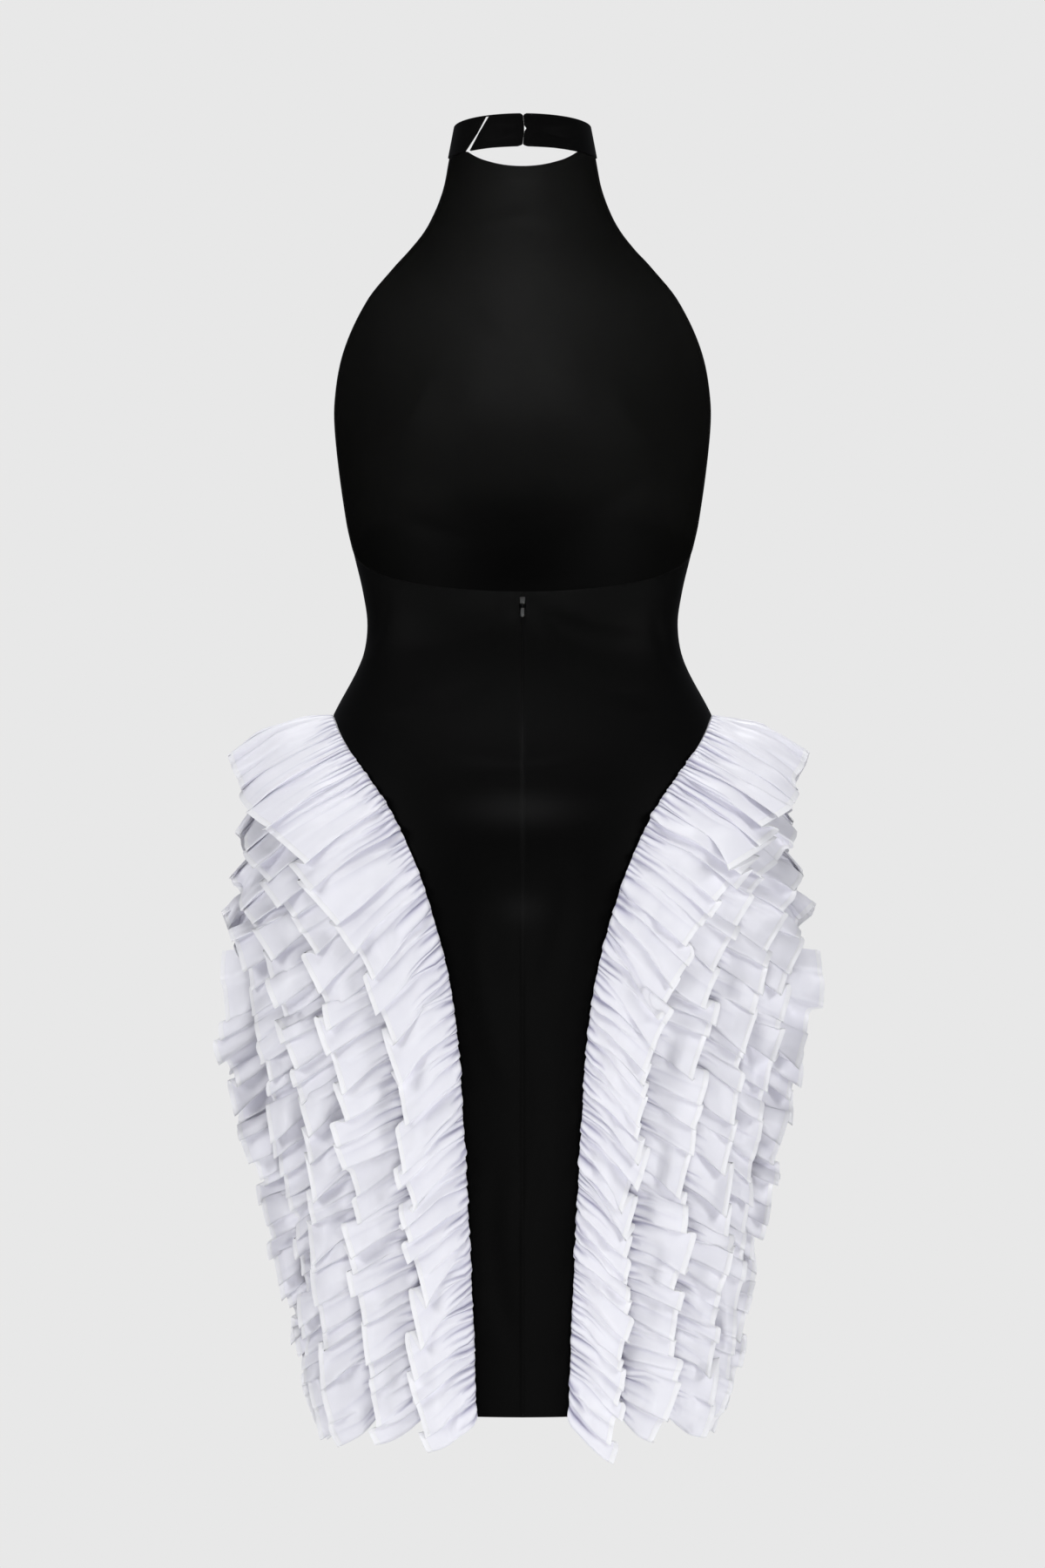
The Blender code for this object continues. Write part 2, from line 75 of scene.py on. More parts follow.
BACK = (  # height, y at the centre back of the skirt
    (-0.338, -0.079),
    (-0.370, -0.076),
    (-0.398, -0.076),
    (-0.427, -0.082),
    (-0.470, -0.097),
    (-0.500, -0.109),
    (-0.530, -0.1195),
    (-0.565, -0.128),
    (-0.600, -0.131),
    (-0.640, -0.130),
    (-0.700, -0.124),
    (-0.770, -0.117),
    (-0.850, -0.111),
    (-0.940, -0.106),
    (-1.030, -0.103),
)
ARCH = (  # drop below a ruffle seam's top, distance from the side line along the cloth
    (0.000, 0.000),
    (-0.0015, 0.0110),
    (-0.007, 0.026),
    (-0.028, 0.060),
    (-0.056, 0.099),
    (-0.084, 0.1285),
    (-0.125, 0.1545),
    (-0.180, 0.169),
    (-0.235, 0.171),
    (-0.320, 0.1635),
    (-0.430, 0.154),
    (-0.560, 0.147),
)
ARCH_WIDTH = 0.171
ARCH_LOW = -0.235
ROW_DROP = 0.046
ROW_PITCH = 0.042
BUST_RISE = 0.010
BUST_HEIGHT = -0.226
BUST_OUT = 0.072
BUST_SPREAD = 0.040


def read_at(table, height):
    """The columns of a table at a height, on a smooth curve through its rows."""
    heights = [row[0] for row in table]
    if height >= heights[0]:
        return table[0][1:]
    if height <= heights[-1]:
        return table[-1][1:]
    upper = max(i for i, value in enumerate(heights[:-1]) if value >= height)
    above, below = table[upper], table[upper + 1]
    before = table[max(upper - 1, 0)]
    after = table[min(upper + 2, len(table) - 1)]
    step = below[0] - above[0]
    t = (height - above[0]) / step
    values = []
    for i in range(1, len(above)):
        start = (below[i] - before[i]) / (below[0] - before[0]) * step
        end = (after[i] - above[i]) / (after[0] - above[0]) * step
        values.append(
            (2 * t**3 - 3 * t**2 + 1) * above[i]
            + (t**3 - 2 * t**2 + t) * start
            + (3 * t**2 - 2 * t**3) * below[i]
            + (t**3 - t**2) * end
        )
    return values


def front_section(height, shares):
    """Points (x, y) inside the front at shares from -1, the left side line, to 1, the right one."""
    half_width, side_y, front_y, wrap = read_at(FORM, height)
    turn = wrap * math.pi / 2
    x = (half_width - WALL) * np.sin(shares * turn) / math.sin(turn)
    round_share = (np.cos(shares * turn) - math.cos(turn)) / (1 - math.cos(turn))
    out = ((abs(x) - BUST_OUT) ** 2 + (height - BUST_HEIGHT) ** 2) / (2 * BUST_SPREAD**2)
    y = side_y + (front_y - WALL - side_y) * round_share + BUST_RISE * np.exp(-out) * round_share
    return np.stack((x, y), axis=-1)


def back_section(height, shares):
    """Points (x, y) inside the back skirt at shares from -1 to 1."""
    half_width, side_y, _, _ = read_at(FORM, height)
    depth = side_y - read_at(BACK, height)[0] - WALL
    turn = shares * math.pi / 2
    return np.stack(((half_width - WALL) * np.sin(turn), side_y - depth * np.cos(turn)), axis=-1)


def share_at(height, arc, section, steps=160):
    """The share of a half section that lies at a distance along the cloth from the side line."""
    shares = np.linspace(1, 0, steps + 1)
    pieces = np.linalg.norm(np.diff(section(height, shares), axis=0), axis=1)
    return float(np.interp(arc, np.concatenate(([0], np.cumsum(pieces))), shares))


def arch_arc(height, row=1):
    """Distance from the side line to a ruffle seam at a height; below the hem it stays as it is."""
    top = HIP_POINT - ROW_DROP * (row - 1)
    inset = ROW_PITCH * (row - 1)
    scale = ARCH_WIDTH / (ARCH_WIDTH - inset)
    drop = max(height, HEM) - top
    if drop >= 0:
        return 0
    rise = read_at(ARCH, max(drop * scale, ARCH_LOW))[0] / ARCH_WIDTH
    full = read_at(ARCH, min(height - HIP_POINT, ARCH_LOW))[0]
    return rise * (full - inset)


def new_piece(name, bm, material):
    """A finished bmesh as an object of the scene."""
    mesh = bpy.data.meshes.new(name)
    bm.to_mesh(mesh)
    bm.free()
    mesh.shade_smooth()
    mesh.materials.append(material)
    piece = bpy.data.objects.new(name, mesh)
    bpy.context.scene.collection.objects.link(piece)
    return piece


def new_cloth(name, points, uvs, thickness, material, offset=1, painted_light=None):
    """Cloth with a wall, from a grid of points in rows; it grows outwards from them.

    The painted shade or painted sheen, from 0 to 1 at each point, is kept as a point attribute that the
    materials read.
    """
    rows, columns = points.shape[0] - 1, points.shape[1] - 1
    bm = bmesh.new()
    layer = bm.loops.layers.uv.new("cloth")
    # tone is the attribute that holds the painted shade or painted sheen at each point.
    tone = bm.verts.layers.float.new("painted_shade_and_sheen")
    bmesh.ops.create_grid(bm, x_segments=columns, y_segments=rows, size=0.5)
    for vert in bm.verts:
        place = round((0.5 - vert.co.y) * rows), round((vert.co.x + 0.5) * columns)
        for loop in vert.link_loops:
            loop[layer].uv = uvs[place]
        vert.co = points[place]
        vert[tone] = 0 if painted_light is None else painted_light[place]
    bm.normal_update()
    for edge in bm.edges:
        edge.smooth = not edge.is_boundary
    outward = sum(face.normal.xy.dot(face.calc_center_median().xy) for face in bm.faces)
    if outward < 0:
        bmesh.ops.reverse_faces(bm, faces=bm.faces)
    cloth = new_piece(name, bm, material)
    wall = cloth.modifiers.new("wall", "SOLIDIFY")
    wall.thickness = thickness
    wall.offset = offset
    return cloth


def new_group(name, outputs):
    """A shader node group that reads cloth coordinates: its nodes, links, input and output."""
    tree = bpy.data.node_groups.new(name, "ShaderNodeTree")
    tree.interface.new_socket("Vector", in_out="INPUT", socket_type="NodeSocketVector")
    for socket, kind in outputs:
        tree.interface.new_socket(socket, in_out="OUTPUT", socket_type=kind)
    start, end = tree.nodes.new("NodeGroupInput"), tree.nodes.new("NodeGroupOutput")
    return tree, start.outputs["Vector"], end


def add_node(tree, kind, links=(), **values):
    """A node with some of its inputs linked and others set; names of settings are lower case."""
    node = tree.nodes.new(kind)
    for name, value in values.items():
        if name in node.inputs:
            node.inputs[name].default_value = value
        else:
            setattr(node, name, value)
    for socket, source in links:
        tree.links.new(source, node.inputs[socket])
    return node


def math_node(tree, operation, *values):
    """The output of a Math node whose inputs are numbers or other nodes' outputs."""
    node = tree.nodes.new("ShaderNodeMath")
    node.operation = operation
    for i, value in enumerate(values):
        if isinstance(value, float):
            node.inputs[i].default_value = value
        else:
            tree.links.new(value, node.inputs[i])
    return node.outputs[0]


def new_material(name, colour, roughness, metallic=0.0):
    """A material of one colour, ready for its weave or grain."""
    material = bpy.data.materials.new(name)
    material.use_nodes = True
    shader = material.node_tree.nodes["Principled BSDF"]
    shader.inputs["Base Color"].default_value = (*colour, 1)
    shader.inputs["Roughness"].default_value = roughness
    shader.inputs["Metallic"].default_value = metallic
    return material


PANEL_WALL = 0.0012
ROW_STEP = 0.0045
FRONT_COLUMNS = 44
NECKLINE_DIP = -0.0157
NECKLINE_CORNER = 0.575
NECK_SEAM = (  # turn from the centre back in degrees, height of the band's lower edge
    (0, -0.0135),
    (25, -0.0141),
    (47, -0.0154),
    (70, -0.0166),
    (90, -0.0166),
    (110, -0.0128),
    (128, -0.0070),
)
NECK_LAP = 0.0008
NECK_BLEND = -0.045
SEAM_DIP = 0.0007
SEAM_REACH = 0.0016
EDGE_RISE = 0.0003
EDGE_REACH = 0.006
HIP_STEPS = (0, 0.0005, 0.0015, 0.003, 0.005, 0.0075, 0.0105, 0.014, 0.018)
ACROSS = (0, 0.003, 0.007, 0.012, 0.02, 0.03, 0.045, 0.065)
CREASE_BOW = 0.12
FRONT_CREASES = (  # x, height, half length, turn in degrees, half width, depth
    (-0.012, -0.026, 0.040, 4, 0.0030, 0.0007),
    (0.016, -0.036, 0.034, -7, 0.0035, -0.0006),
    (-0.020, -0.060, 0.046, 9, 0.0050, 0.0010),
    (0.024, -0.068, 0.040, -5, 0.0045, -0.0009),
    (0.060, -0.118, 0.050, 34, 0.0080, -0.0014),
    (-0.056, -0.131, 0.056, -38, 0.0090, -0.0015),
    (-0.086, -0.212, 0.042, 62, 0.0070, 0.0011),
    (0.092, -0.226, 0.038, -58, 0.0080, 0.0012),
    (0.058, -0.300, 0.050, 22, 0.0090, -0.0016),
    (-0.064, -0.318, 0.056, -17, 0.0080, -0.0014),
    (0.010, -0.368, 0.070, 3, 0.0070, -0.0013),
    (-0.042, -0.392, 0.058, -8, 0.0060, 0.0013),
    (0.050, -0.411, 0.062, 10, 0.0060, -0.0015),
    (-0.030, -0.437, 0.074, 6, 0.0080, -0.0016),
    (0.038, -0.496, 0.066, -14, 0.0100, 0.0016),
    (-0.052, -0.528, 0.060, 19, 0.0110, -0.0015),
    (0.004, -0.612, 0.052, 74, 0.0130, -0.0012),
    (-0.026, -0.742, 0.085, 84, 0.0120, 0.0012),
    (0.030, -0.866, 0.090, -82, 0.0130, -0.0013),
    (-0.012, -0.958, 0.055, 66, 0.0100, 0.0010),
)


def row_heights(top):
    """Heights of a panel's rows, close together where the ruffle seam begins at the hip."""
    above = np.linspace(top, HIP_POINT, round((top - HIP_POINT) / ROW_STEP) + 1)[:-1]
    hip = HIP_POINT - np.array(HIP_STEPS)
    below = np.linspace(hip[-1], HEM, round((hip[-1] - HEM) / ROW_STEP) + 1)[1:]
    return np.concatenate((above, hip, below))


def creases_at(creases, x, height):
    """How far the soft creases of a table push the cloth out, at points of a panel."""
    push = 0
    for middle_x, middle_height, length, turn, width, depth in creases:
        turn = math.radians(turn)
        along = (x - middle_x) * math.cos(turn) + (height - middle_height) * math.sin(turn)
        across = (height - middle_height) * math.cos(turn) - (x - middle_x) * math.sin(turn)
        across = across - CREASE_BOW * along**2 / length
        push = push + depth * np.exp(-((across / width) ** 2) - (along / length) ** 4)
    return push


def edge_relief(distance, sewn):
    """A seam draws the cloth in beside it, and a turned edge is a little thicker."""
    dip = -SEAM_DIP * np.exp(-((distance / SEAM_REACH) ** 2))
    turned = EDGE_RISE * (distance < EDGE_REACH)
    return np.where(sewn, dip, turned)


def pushed_out(points, push):
    """Points moved away from the axis of the dress, level, square to the cloth in each row."""
    along = np.gradient(points[..., :2], axis=1)
    out = np.stack((along[..., 1], -along[..., 0]), axis=-1)
    out /= np.maximum(np.linalg.norm(out, axis=-1, keepdims=True), 1e-9)
    out *= np.sign((out * points[..., :2]).sum(axis=-1, keepdims=True))
    moved = points.copy()
    moved[..., :2] += out * push[..., None]
    return moved


def distances(points, axis):
    """Distances from a panel's first points along its rows, axis 1, or down its columns, axis 0."""
    steps = np.linalg.norm(np.diff(points, axis=axis), axis=2)
    return np.pad(steps.cumsum(axis=axis), ((1 - axis, 0), (axis, 0)))


def cloth_uvs(points):
    """Places on the cloth in metres, across from its middle column and down from its top row."""
    middle = points.shape[1] // 2
    across = distances(points, 1)
    across = across - across[:, middle : middle + 1]
    down = distances(points, 0)[:, middle : middle + 1] + 0 * across
    return np.stack((across, -down), axis=-1)


def hang(panel, node):
    """Puts a hanging panel in its node's place on the dress, and hides the node."""
    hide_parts(node)
    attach(panel, "dress")


def front_points():
    """The front's inner skin; its top rows bend to the neckline between the band's ends."""
    heights = row_heights(FORM[0][0])
    inner = np.linspace(ACROSS[-1], 1, FRONT_COLUMNS)[1:]
    half = 1 - np.concatenate((ACROSS, inner))
    shares = np.concatenate((-half[:-1], half[::-1]))
    corner = NECK_SEAM[-1][1] + NECK_LAP
    rows = []
    for level in heights:
        edge = share_at(level, arch_arc(level), front_section) if level < HIP_POINT else 1
        row = []
        for share in shares:
            if abs(share) > NECKLINE_CORNER:
                neck = np.interp(180 - 90 * abs(share), *np.array(NECK_SEAM).T) + NECK_LAP
            else:
                neck = NECKLINE_DIP + (corner - NECKLINE_DIP) * (share / NECKLINE_CORNER) ** 2
            height = level
            if level > NECK_BLEND:
                rise = (level - NECK_BLEND) / (heights[0] - NECK_BLEND)
                height = NECK_BLEND + (neck - NECK_BLEND) * rise
            x, y = front_section(height, np.array(share * edge))
            row.append((x, y, height))
        rows.append(row)
    return np.array(rows)


def front_panel(material):
    """The front with its creases, drawn in along the ruffle seams and turned at the open back."""
    points = front_points()
    start = distances(points, 1)
    distance = np.minimum(start, start[:, -1:] - start)
    sewn = points[..., 2] < BACK_TOP_SIDE
    push = creases_at(FRONT_CREASES, points[..., 0], points[..., 2]) + edge_relief(distance, sewn)
    panel = new_cloth("cloth_front", pushed_out(points, push), cloth_uvs(points), PANEL_WALL, material)
    hang(panel, "front_panel")


CREPE_GRAIN = 1100
CREPE_CLOUD = 22
# The inside tones are painted light: a lighter copy of the black crepe's tones, for the inside of the
# bodice.
INSIDE_PAINTED_LIGHTER_TONES = ((0.0024, 0.0024, 0.0022), (0.0052, 0.0052, 0.0048))
FLOAT, VECTOR = "NodeSocketFloat", "NodeSocketVector"
crepe_weave, cloth_at, ends = new_group("crepe_weave", (("Tone", FLOAT), ("Normal", VECTOR)))
grain = add_node(crepe_weave, "ShaderNodeTexNoise", (("Vector", cloth_at),), Scale=CREPE_GRAIN, Detail=2.0)
cloud = add_node(crepe_weave, "ShaderNodeTexNoise", (("Vector", cloth_at),), Scale=CREPE_CLOUD, Detail=4.0)
tone = math_node(crepe_weave, "MULTIPLY", grain.outputs["Fac"], cloud.outputs["Fac"])
bump = add_node(
    crepe_weave, "ShaderNodeBump", (("Height", grain.outputs["Fac"]),), Strength=0.5, Distance=0.00012
)
crepe_weave.links.new(tone, ends.inputs["Tone"])
crepe_weave.links.new(bump.outputs["Normal"], ends.inputs["Normal"])


def add_tones(tree, share, tones):
    """A ramp from the dark to the light tone."""
    ramp = add_node(tree, "ShaderNodeValToRGB", (("Fac", share),), name="tones")
    for element, colour in zip(ramp.color_ramp.elements, tones):
        element.color = (*colour, 1)
    return ramp


def new_weave(name, group, tones, roughness, specular, sheen=0.0, metallic=0.0, cloth=True):
    """A material whose colour runs from a dark to a light tone with its weave or grain."""
    material = new_material(name, tones[1], roughness, metallic)
    tree = material.node_tree
    shader = tree.nodes["Principled BSDF"]
    shader.inputs["Specular IOR Level"].default_value = specular
    shader.inputs["Sheen Weight"].default_value = sheen
    if cloth:
        start = add_node(tree, "ShaderNodeUVMap", uv_map="cloth").outputs["UV"]
    else:
        start = add_node(tree, "ShaderNodeTexCoord").outputs["Object"]
    weave = add_node(tree, "ShaderNodeGroup", (("Vector", start),), node_tree=group, name="weave")
    ramp = add_tones(tree, weave.outputs["Tone"], tones)
    tree.links.new(ramp.outputs["Color"], shader.inputs["Base Color"])
    tree.links.new(weave.outputs["Normal"], shader.inputs["Normal"])
    return material


# The front's wrong side is a matter crepe; its lighter tones are painted light for the inside of the
# bodice.
inside_painted_lighter = new_weave("black_crepe_inside_painted_lighter", crepe_weave, INSIDE_PAINTED_LIGHTER_TONES, roughness=0.6, specular=0.06)
front_panel(inside_painted_lighter)

# Black back skirt
# Two panels of the same crepe, joined by the centre seam. They begin at a curved edge at the waist,
# and an invisible zip opens the top of the seam.
BACK_CREASES = (  # as FRONT_CREASES
    (-0.004, -0.505, 0.052, 0, 0.0050, -0.0011),
    (-0.010, -0.517, 0.058, 3, 0.0050, 0.0011),
    (0.008, -0.530, 0.046, -4, 0.0060, -0.0009),
    (-0.052, -0.412, 0.040, 12, 0.0060, -0.0010),
    (0.056, -0.405, 0.042, -14, 0.0060, 0.0011),
    (-0.018, -0.402, 0.030, 62, 0.0050, 0.0010),
    (0.019, -0.404, 0.030, -60, 0.0050, 0.0010),
    (0.112, -0.412, 0.024, -68, 0.0050, -0.0010),
    (-0.116, -0.400, 0.024, 66, 0.0050, -0.0010),
    (0.062, -0.452, 0.040, -16, 0.0070, -0.0012),
    (-0.066, -0.460, 0.040, 15, 0.0070, 0.0011),
    (0.030, -0.640, 0.060, 78, 0.0110, -0.0012),
    (-0.034, -0.690, 0.070, -80, 0.0120, 0.0012),
    (0.012, -0.802, 0.090, 86, 0.0090, -0.0010),
    (-0.022, -0.905, 0.070, -84, 0.0100, -0.0010),
)
SIDES = ((-1, "left"), (1, "right"))
BACK_COLUMNS = 36
TOP_CURVE_FADE = 0.062
CENTRE_RIDGE = 0.0004
# The seam's reach, the tables and the colour below paint a sheen: a lighter colour along the centre seam
# and on the seat.
PAINTED_SEAM_SHEEN_REACH = 0.0016
PAINTED_SEAM_SHEEN = (  # height, how much painted sheen lies on the centre seam there
    (-0.690, 0), (-0.655, 0.15), (-0.625, 0.30), (-0.595, 0.15), (-0.545, 0.32), (-0.490, 0.30), (-0.455, 0)
)
PAINTED_SHEEN_SPOTS = (  # painted sheen on the seat: height on the seam, reach across, reach up and down, share
    (-0.546, 0.042, 0.013, 0.75),
    (-0.480, 0.110, 0.050, 0.25),
    (-0.625, 0.016, 0.012, 0.40),
)
PAINTED_SHEEN_COLOUR = (0.009, 0.009, 0.009)
CREPE_TONES = ((0.0006, 0.0006, 0.0006), (0.0020, 0.0020, 0.0018))


def back_panel(side, word, material):
    """Half of the back skirt; its top edge curves up to the side, and painted sheen lies on its centre seam
    and seat.
    """
    heights = row_heights(BACK_TOP_SIDE)
    inner = np.linspace(ACROSS[-1], 1 - ACROSS[-1], BACK_COLUMNS)[1:-1]
    shares = np.concatenate((ACROSS, inner, 1 - np.array(ACROSS)[::-1]))
    rows = []
    for level in heights:
        edge = share_at(level, arch_arc(level), back_section) if level < HIP_POINT else 1
        fade = max(0, 1 - (BACK_TOP_SIDE - level) / TOP_CURVE_FADE)
        height = level + (BACK_TOP_CENTRE - BACK_TOP_SIDE) * fade * (1 - shares**2)
        rows.append([(*back_section(h, np.array(share * edge)), h) for h, share in zip(height, shares)])
    points = np.array(rows)
    points[..., 0] *= side
    start = distances(points, 1)
    distance = np.minimum(start, start[:, -1:] - start)
    push = creases_at(BACK_CREASES, points[..., 0], points[..., 2]) + edge_relief(distance, True)
    push += (SEAM_DIP + CENTRE_RIDGE) * np.exp(-((start / SEAM_REACH) ** 2))
    # Painted sheen: a share of a lighter colour along the centre seam and in spots on the seat.
    painted_sheen = np.exp(-((start / PAINTED_SEAM_SHEEN_REACH) ** 2)) * np.interp(points[..., 2], *np.array(PAINTED_SEAM_SHEEN).T)
    for height, reach, spread, share in PAINTED_SHEEN_SPOTS:
        painted_sheen += share * np.exp(-((start / reach) ** 2) - ((points[..., 2] - height) / spread) ** 2)
    cloth, painted_sheen = pushed_out(points, push), np.minimum(painted_sheen, 1)
    panel = new_cloth(f"cloth_back_{word}", cloth, cloth_uvs(points), PANEL_WALL, material, painted_light=painted_sheen)
    hang(panel, f"back_panel_{word}")


def tint(tree, mask, under, colour):
    """A colour output that goes from the one under it to a colour of its own where the mask is 1."""
    mixed = add_node(tree, "ShaderNodeMix", (("Factor", mask), (6, under)), data_type="RGBA")
    mixed.inputs[7].default_value = (*colour, 1)
    return mixed.outputs[2]


black_crepe = new_weave(
    "black_crepe", crepe_weave, CREPE_TONES, roughness=0.5, specular=0.035, sheen=0.0008
)
tree = black_crepe.node_tree
# The attribute holds the back panels' painted sheen, which lightens the crepe's colour along the centre
# seam and on the seat.
pressed = add_node(tree, "ShaderNodeAttribute", attribute_name="painted_shade_and_sheen")
crepe_with_painted_sheen = tint(tree, pressed.outputs["Fac"], tree.nodes["tones"].outputs["Color"], PAINTED_SHEEN_COLOUR)
tree.links.new(crepe_with_painted_sheen, tree.nodes["Principled BSDF"].inputs["Base Color"])
for side, word in SIDES:
    back_panel(side, word, black_crepe)

# White ground cloth
# A panel of plain white cotton over each hip, between the ruffle seams of the black panels. The
# ruffles are sewn to it in arches, and its hem ends with the black one.
TIP_DROP = 0.0006
GROUND_COLUMNS = 65
COTTON_TONES = ((0.74, 0.735, 0.77), (0.85, 0.845, 0.88))
SKIN_HEIGHTS = (-1.14, -0.40, 0.004)
SKIN_ARCS = (-0.282, 0.283, 0.003)


def skirt_skin():
    """Inner surface of the skirt on a grid of heights and arcs, with the way out of it."""
    heights = np.arange(*SKIN_HEIGHTS)
    arcs = np.arange(*SKIN_ARCS)
    foot = np.zeros((len(heights), len(arcs), 3))
    out = np.zeros((len(heights), len(arcs), 3))
    shares = np.linspace(1, 0, 161)
    for i, height in enumerate(heights):
        half_width, side_y, front_y, _ = read_at(FORM, height)
        for section, facing in ((back_section, -1), (front_section, 1)):
            pieces = np.linalg.norm(np.diff(section(height, shares), axis=0), axis=1)
            lengths = np.concatenate(([0], np.cumsum(pieces)))
            mine = arcs >= 0 if facing < 0 else arcs < 0
            share = np.interp(abs(arcs[mine]), lengths, shares)
            depth = side_y - read_at(BACK, height)[0] if facing < 0 else front_y - side_y
            turn = share * math.pi / 2
            way = np.stack((depth * np.sin(turn), facing * half_width * np.cos(turn)), axis=-1)
            foot[i, mine, :2] = section(height, share)
            out[i, mine, :2] = way / np.linalg.norm(way, axis=1)[:, None]
        foot[i, :, 2] = height
    return heights, arcs, foot, out


SKIN = skirt_skin()


def skin_points(side, arc, height, lift):
    """Points off the skirt's inside; arc from the side line is positive towards the back."""
    heights, arcs, foot, out = SKIN
    row = np.clip((height - heights[0]) / (heights[1] - heights[0]), 0, len(heights) - 1.001)
    column = np.clip((arc - arcs[0]) / (arcs[1] - arcs[0]), 0, len(arcs) - 1.001)
    i, j = row.astype(int), column.astype(int)
    s, t = (row - i)[..., None], (column - j)[..., None]
    corners = (
        (i, j, (1 - s) * (1 - t)),
        (i + 1, j, s * (1 - t)),
        (i, j + 1, (1 - s) * t),
        (i + 1, j + 1, s * t),
    )
    place = sum(foot[a, b] * share for a, b, share in corners)
    way = sum(out[a, b] * share for a, b, share in corners)
    place = place + way / np.linalg.norm(way, axis=-1)[..., None] * lift[..., None]
    place[..., 2] = height
    place[..., 0] *= side
    return place


def side_panel(side, word, material):
    """Ground cloth over one hip, drawn in along the seams of the ruffles that are sewn to it."""
    heights = row_heights(HIP_POINT)[1:]
    shares = np.linspace(-1, 1, GROUND_COLUMNS)
    reach = np.array([arch_arc(level + TIP_DROP) for level in heights])
    arc = reach[:, None] * shares
    height = heights[:, None] + 0 * arc
    push = 0 * arc
    for row in (2, 3, 4):
        seam = np.array([arch_arc(level, row) for level in heights])[:, None]
        push -= SEAM_DIP * np.exp(-(((abs(arc) - seam) / SEAM_REACH) ** 2)) * (seam > 0)
    points = skin_points(side, arc, height, push)
    panel = new_cloth(f"cloth_side_{word}", points, cloth_uvs(points), PANEL_WALL, material)
    hang(panel, f"side_panel_{word}")


white_cotton = new_weave(
    "white_cotton", crepe_weave, COTTON_TONES, roughness=0.75, specular=0.3, sheen=0.02
)
for side, word in SIDES:
    side_panel(side, word, white_cotton)

# White ruffles
# Ten bias strips of white satin cotton, five over each hip. Each is gathered along one edge, sewn on
# in an arch from hem to hip to hem, and hangs in overlapping folds to a narrow stitched hem.
RUFFLES = (  # row, depth at its top, on legs, at the hem, angle at its top, on legs, wave, column step
    (1, 0.081, 0.074, 0.052, 74, 29, 0.0044, 0.00085),
    (2, 0.077, 0.075, 0.054, 50, 39, 0.0046, 0.0013),
    (3, 0.076, 0.074, 0.054, 56, 50, 0.0052, 0.0013),
    (4, 0.074, 0.072, 0.046, 70, 62, 0.0060, 0.0013),
    (5, 0.074, 0.102, 0.044, 78, 88, 0.0085, 0.0013),
)
SIDE_ROW = 5
RUFFLE_WALL = 0.0005
RUFFLE_LIFT = WALL + 0.0007
LEAST_LIFT = WALL + 0.0004
USUAL_DEPTH = 0.075
DEPTH_ROWS = (
    0, 0.02, 0.05, 0.09, 0.14, 0.2, 0.27, 0.35, 0.43, 0.52, 0.61, 0.7, 0.78, 0.85, 0.91, 0.95, 0.975, 1
)
LEG_FULL_DEPTH = -0.650
STEEP = 0.9
SIDE_EASE = 0.06
SIDE_START = 0.3
TOP_CURL = 50
LEG_CURL = 20
TOP_LEAN = 0.04
FALL = {  # left and right side: shares of the depth, how much the strip falls at each
    -1: ((0, 0.15, 0.5, 1), (0.32, 0.52, 0.92, 0.72)),
    1: ((0, 0.15, 0.5, 1), (0.40, 0.66, 1.10, 0.80)),
}
LATER_FALL = {-1: 0.76, 1: 0.52}  # left and right side: share of the fall in rows 2 to 5
LATER_DEPTH = {-1: 0.94, 1: 0.80}
FALL_FROM = 0.80
LEAST_FALL = 0.1
FALL_SWAY = 0.21
END_ROUND = 0.034
END_CUT = 0.13
END_SHARE = 0.4
END_FALL = ((0, 0.3, 0.6, 1), (0.75, 0.45, -0.15, -0.5))
END_DROPS = (0, 0, 0.12, 0.6, 0.7)
FOLDS = {  # first row's left -1 and right 1, rows 2 to 5: narrowest, widest, most curl, widths at the top
    -1: (0.011, 0.040, 1.0, (0.044, 0.030, 0.028, 0.048, 0.020)),
    1: (0.008, 0.024, 2.6, (0.046, 0.016, 0.014, 0.013, 0.017, 0.014, 0.026)),
    2: (0.011, 0.034, 1.0, (0.026, 0.034, 0.022)),
    3: (0.011, 0.034, 1.0, (0.026, 0.034, 0.022)),
    4: (0.009, 0.026, 1.0, (0.022, 0.026, 0.018)),
    5: (0.008, 0.020, 1.0, (0.015, 0.019, 0.013)),
}
NARROW_BIAS = 1.4
USUAL_FOLD = 0.030
WIDEST_LIFT = 0.036
WIDTH_POWER = 0.7
FOLD_CREST = (0.74, 0.87)
FOLD_BOW = (0.75, 1.2)
FOLD_HEIGHTS = (0.55, 1.3)
FOLD_GROWTH = 0.9
FOLD_LEAN = 1.9
FOLD_SLANT = (-0.02, 0.27)
FOLD_STEP = 0.08
FOLD_TILT = (3, 4, 7, 10, 8)
TOP_EASE = ((0, 0.03, 0.08), (0.2, 0.45, 1))
LEAST_CURL = -0.5
CURL_FROM = 0.6
CREASE_WIDTHS = (0.008, 0.019)
CREASE_CREST = 0.62
CREASE_HEIGHTS = (0.3, 1.3)
CREASE_ENDS = (0.4, 1.5)
CREASE_RISE = 0.0036
CREASE_START = 0.4
CREASE_LEAST = 0.12
CREASE_LEAN = 1.0
PUCKER_WIDTHS = (0.0036, 0.0084)
USUAL_PUCKER = 0.006
PUCKER_ROUND = 0.6
PUCKER_HEIGHTS = (0.55, 1.25)
PUCKER_END, PUCKER_LONGER = 0.14, 0.55
PUCKER_RISE = 0.0050
PUCKER_START = 0.3
HIP_CALM = 0.10
CALM_LEAST = 0.12
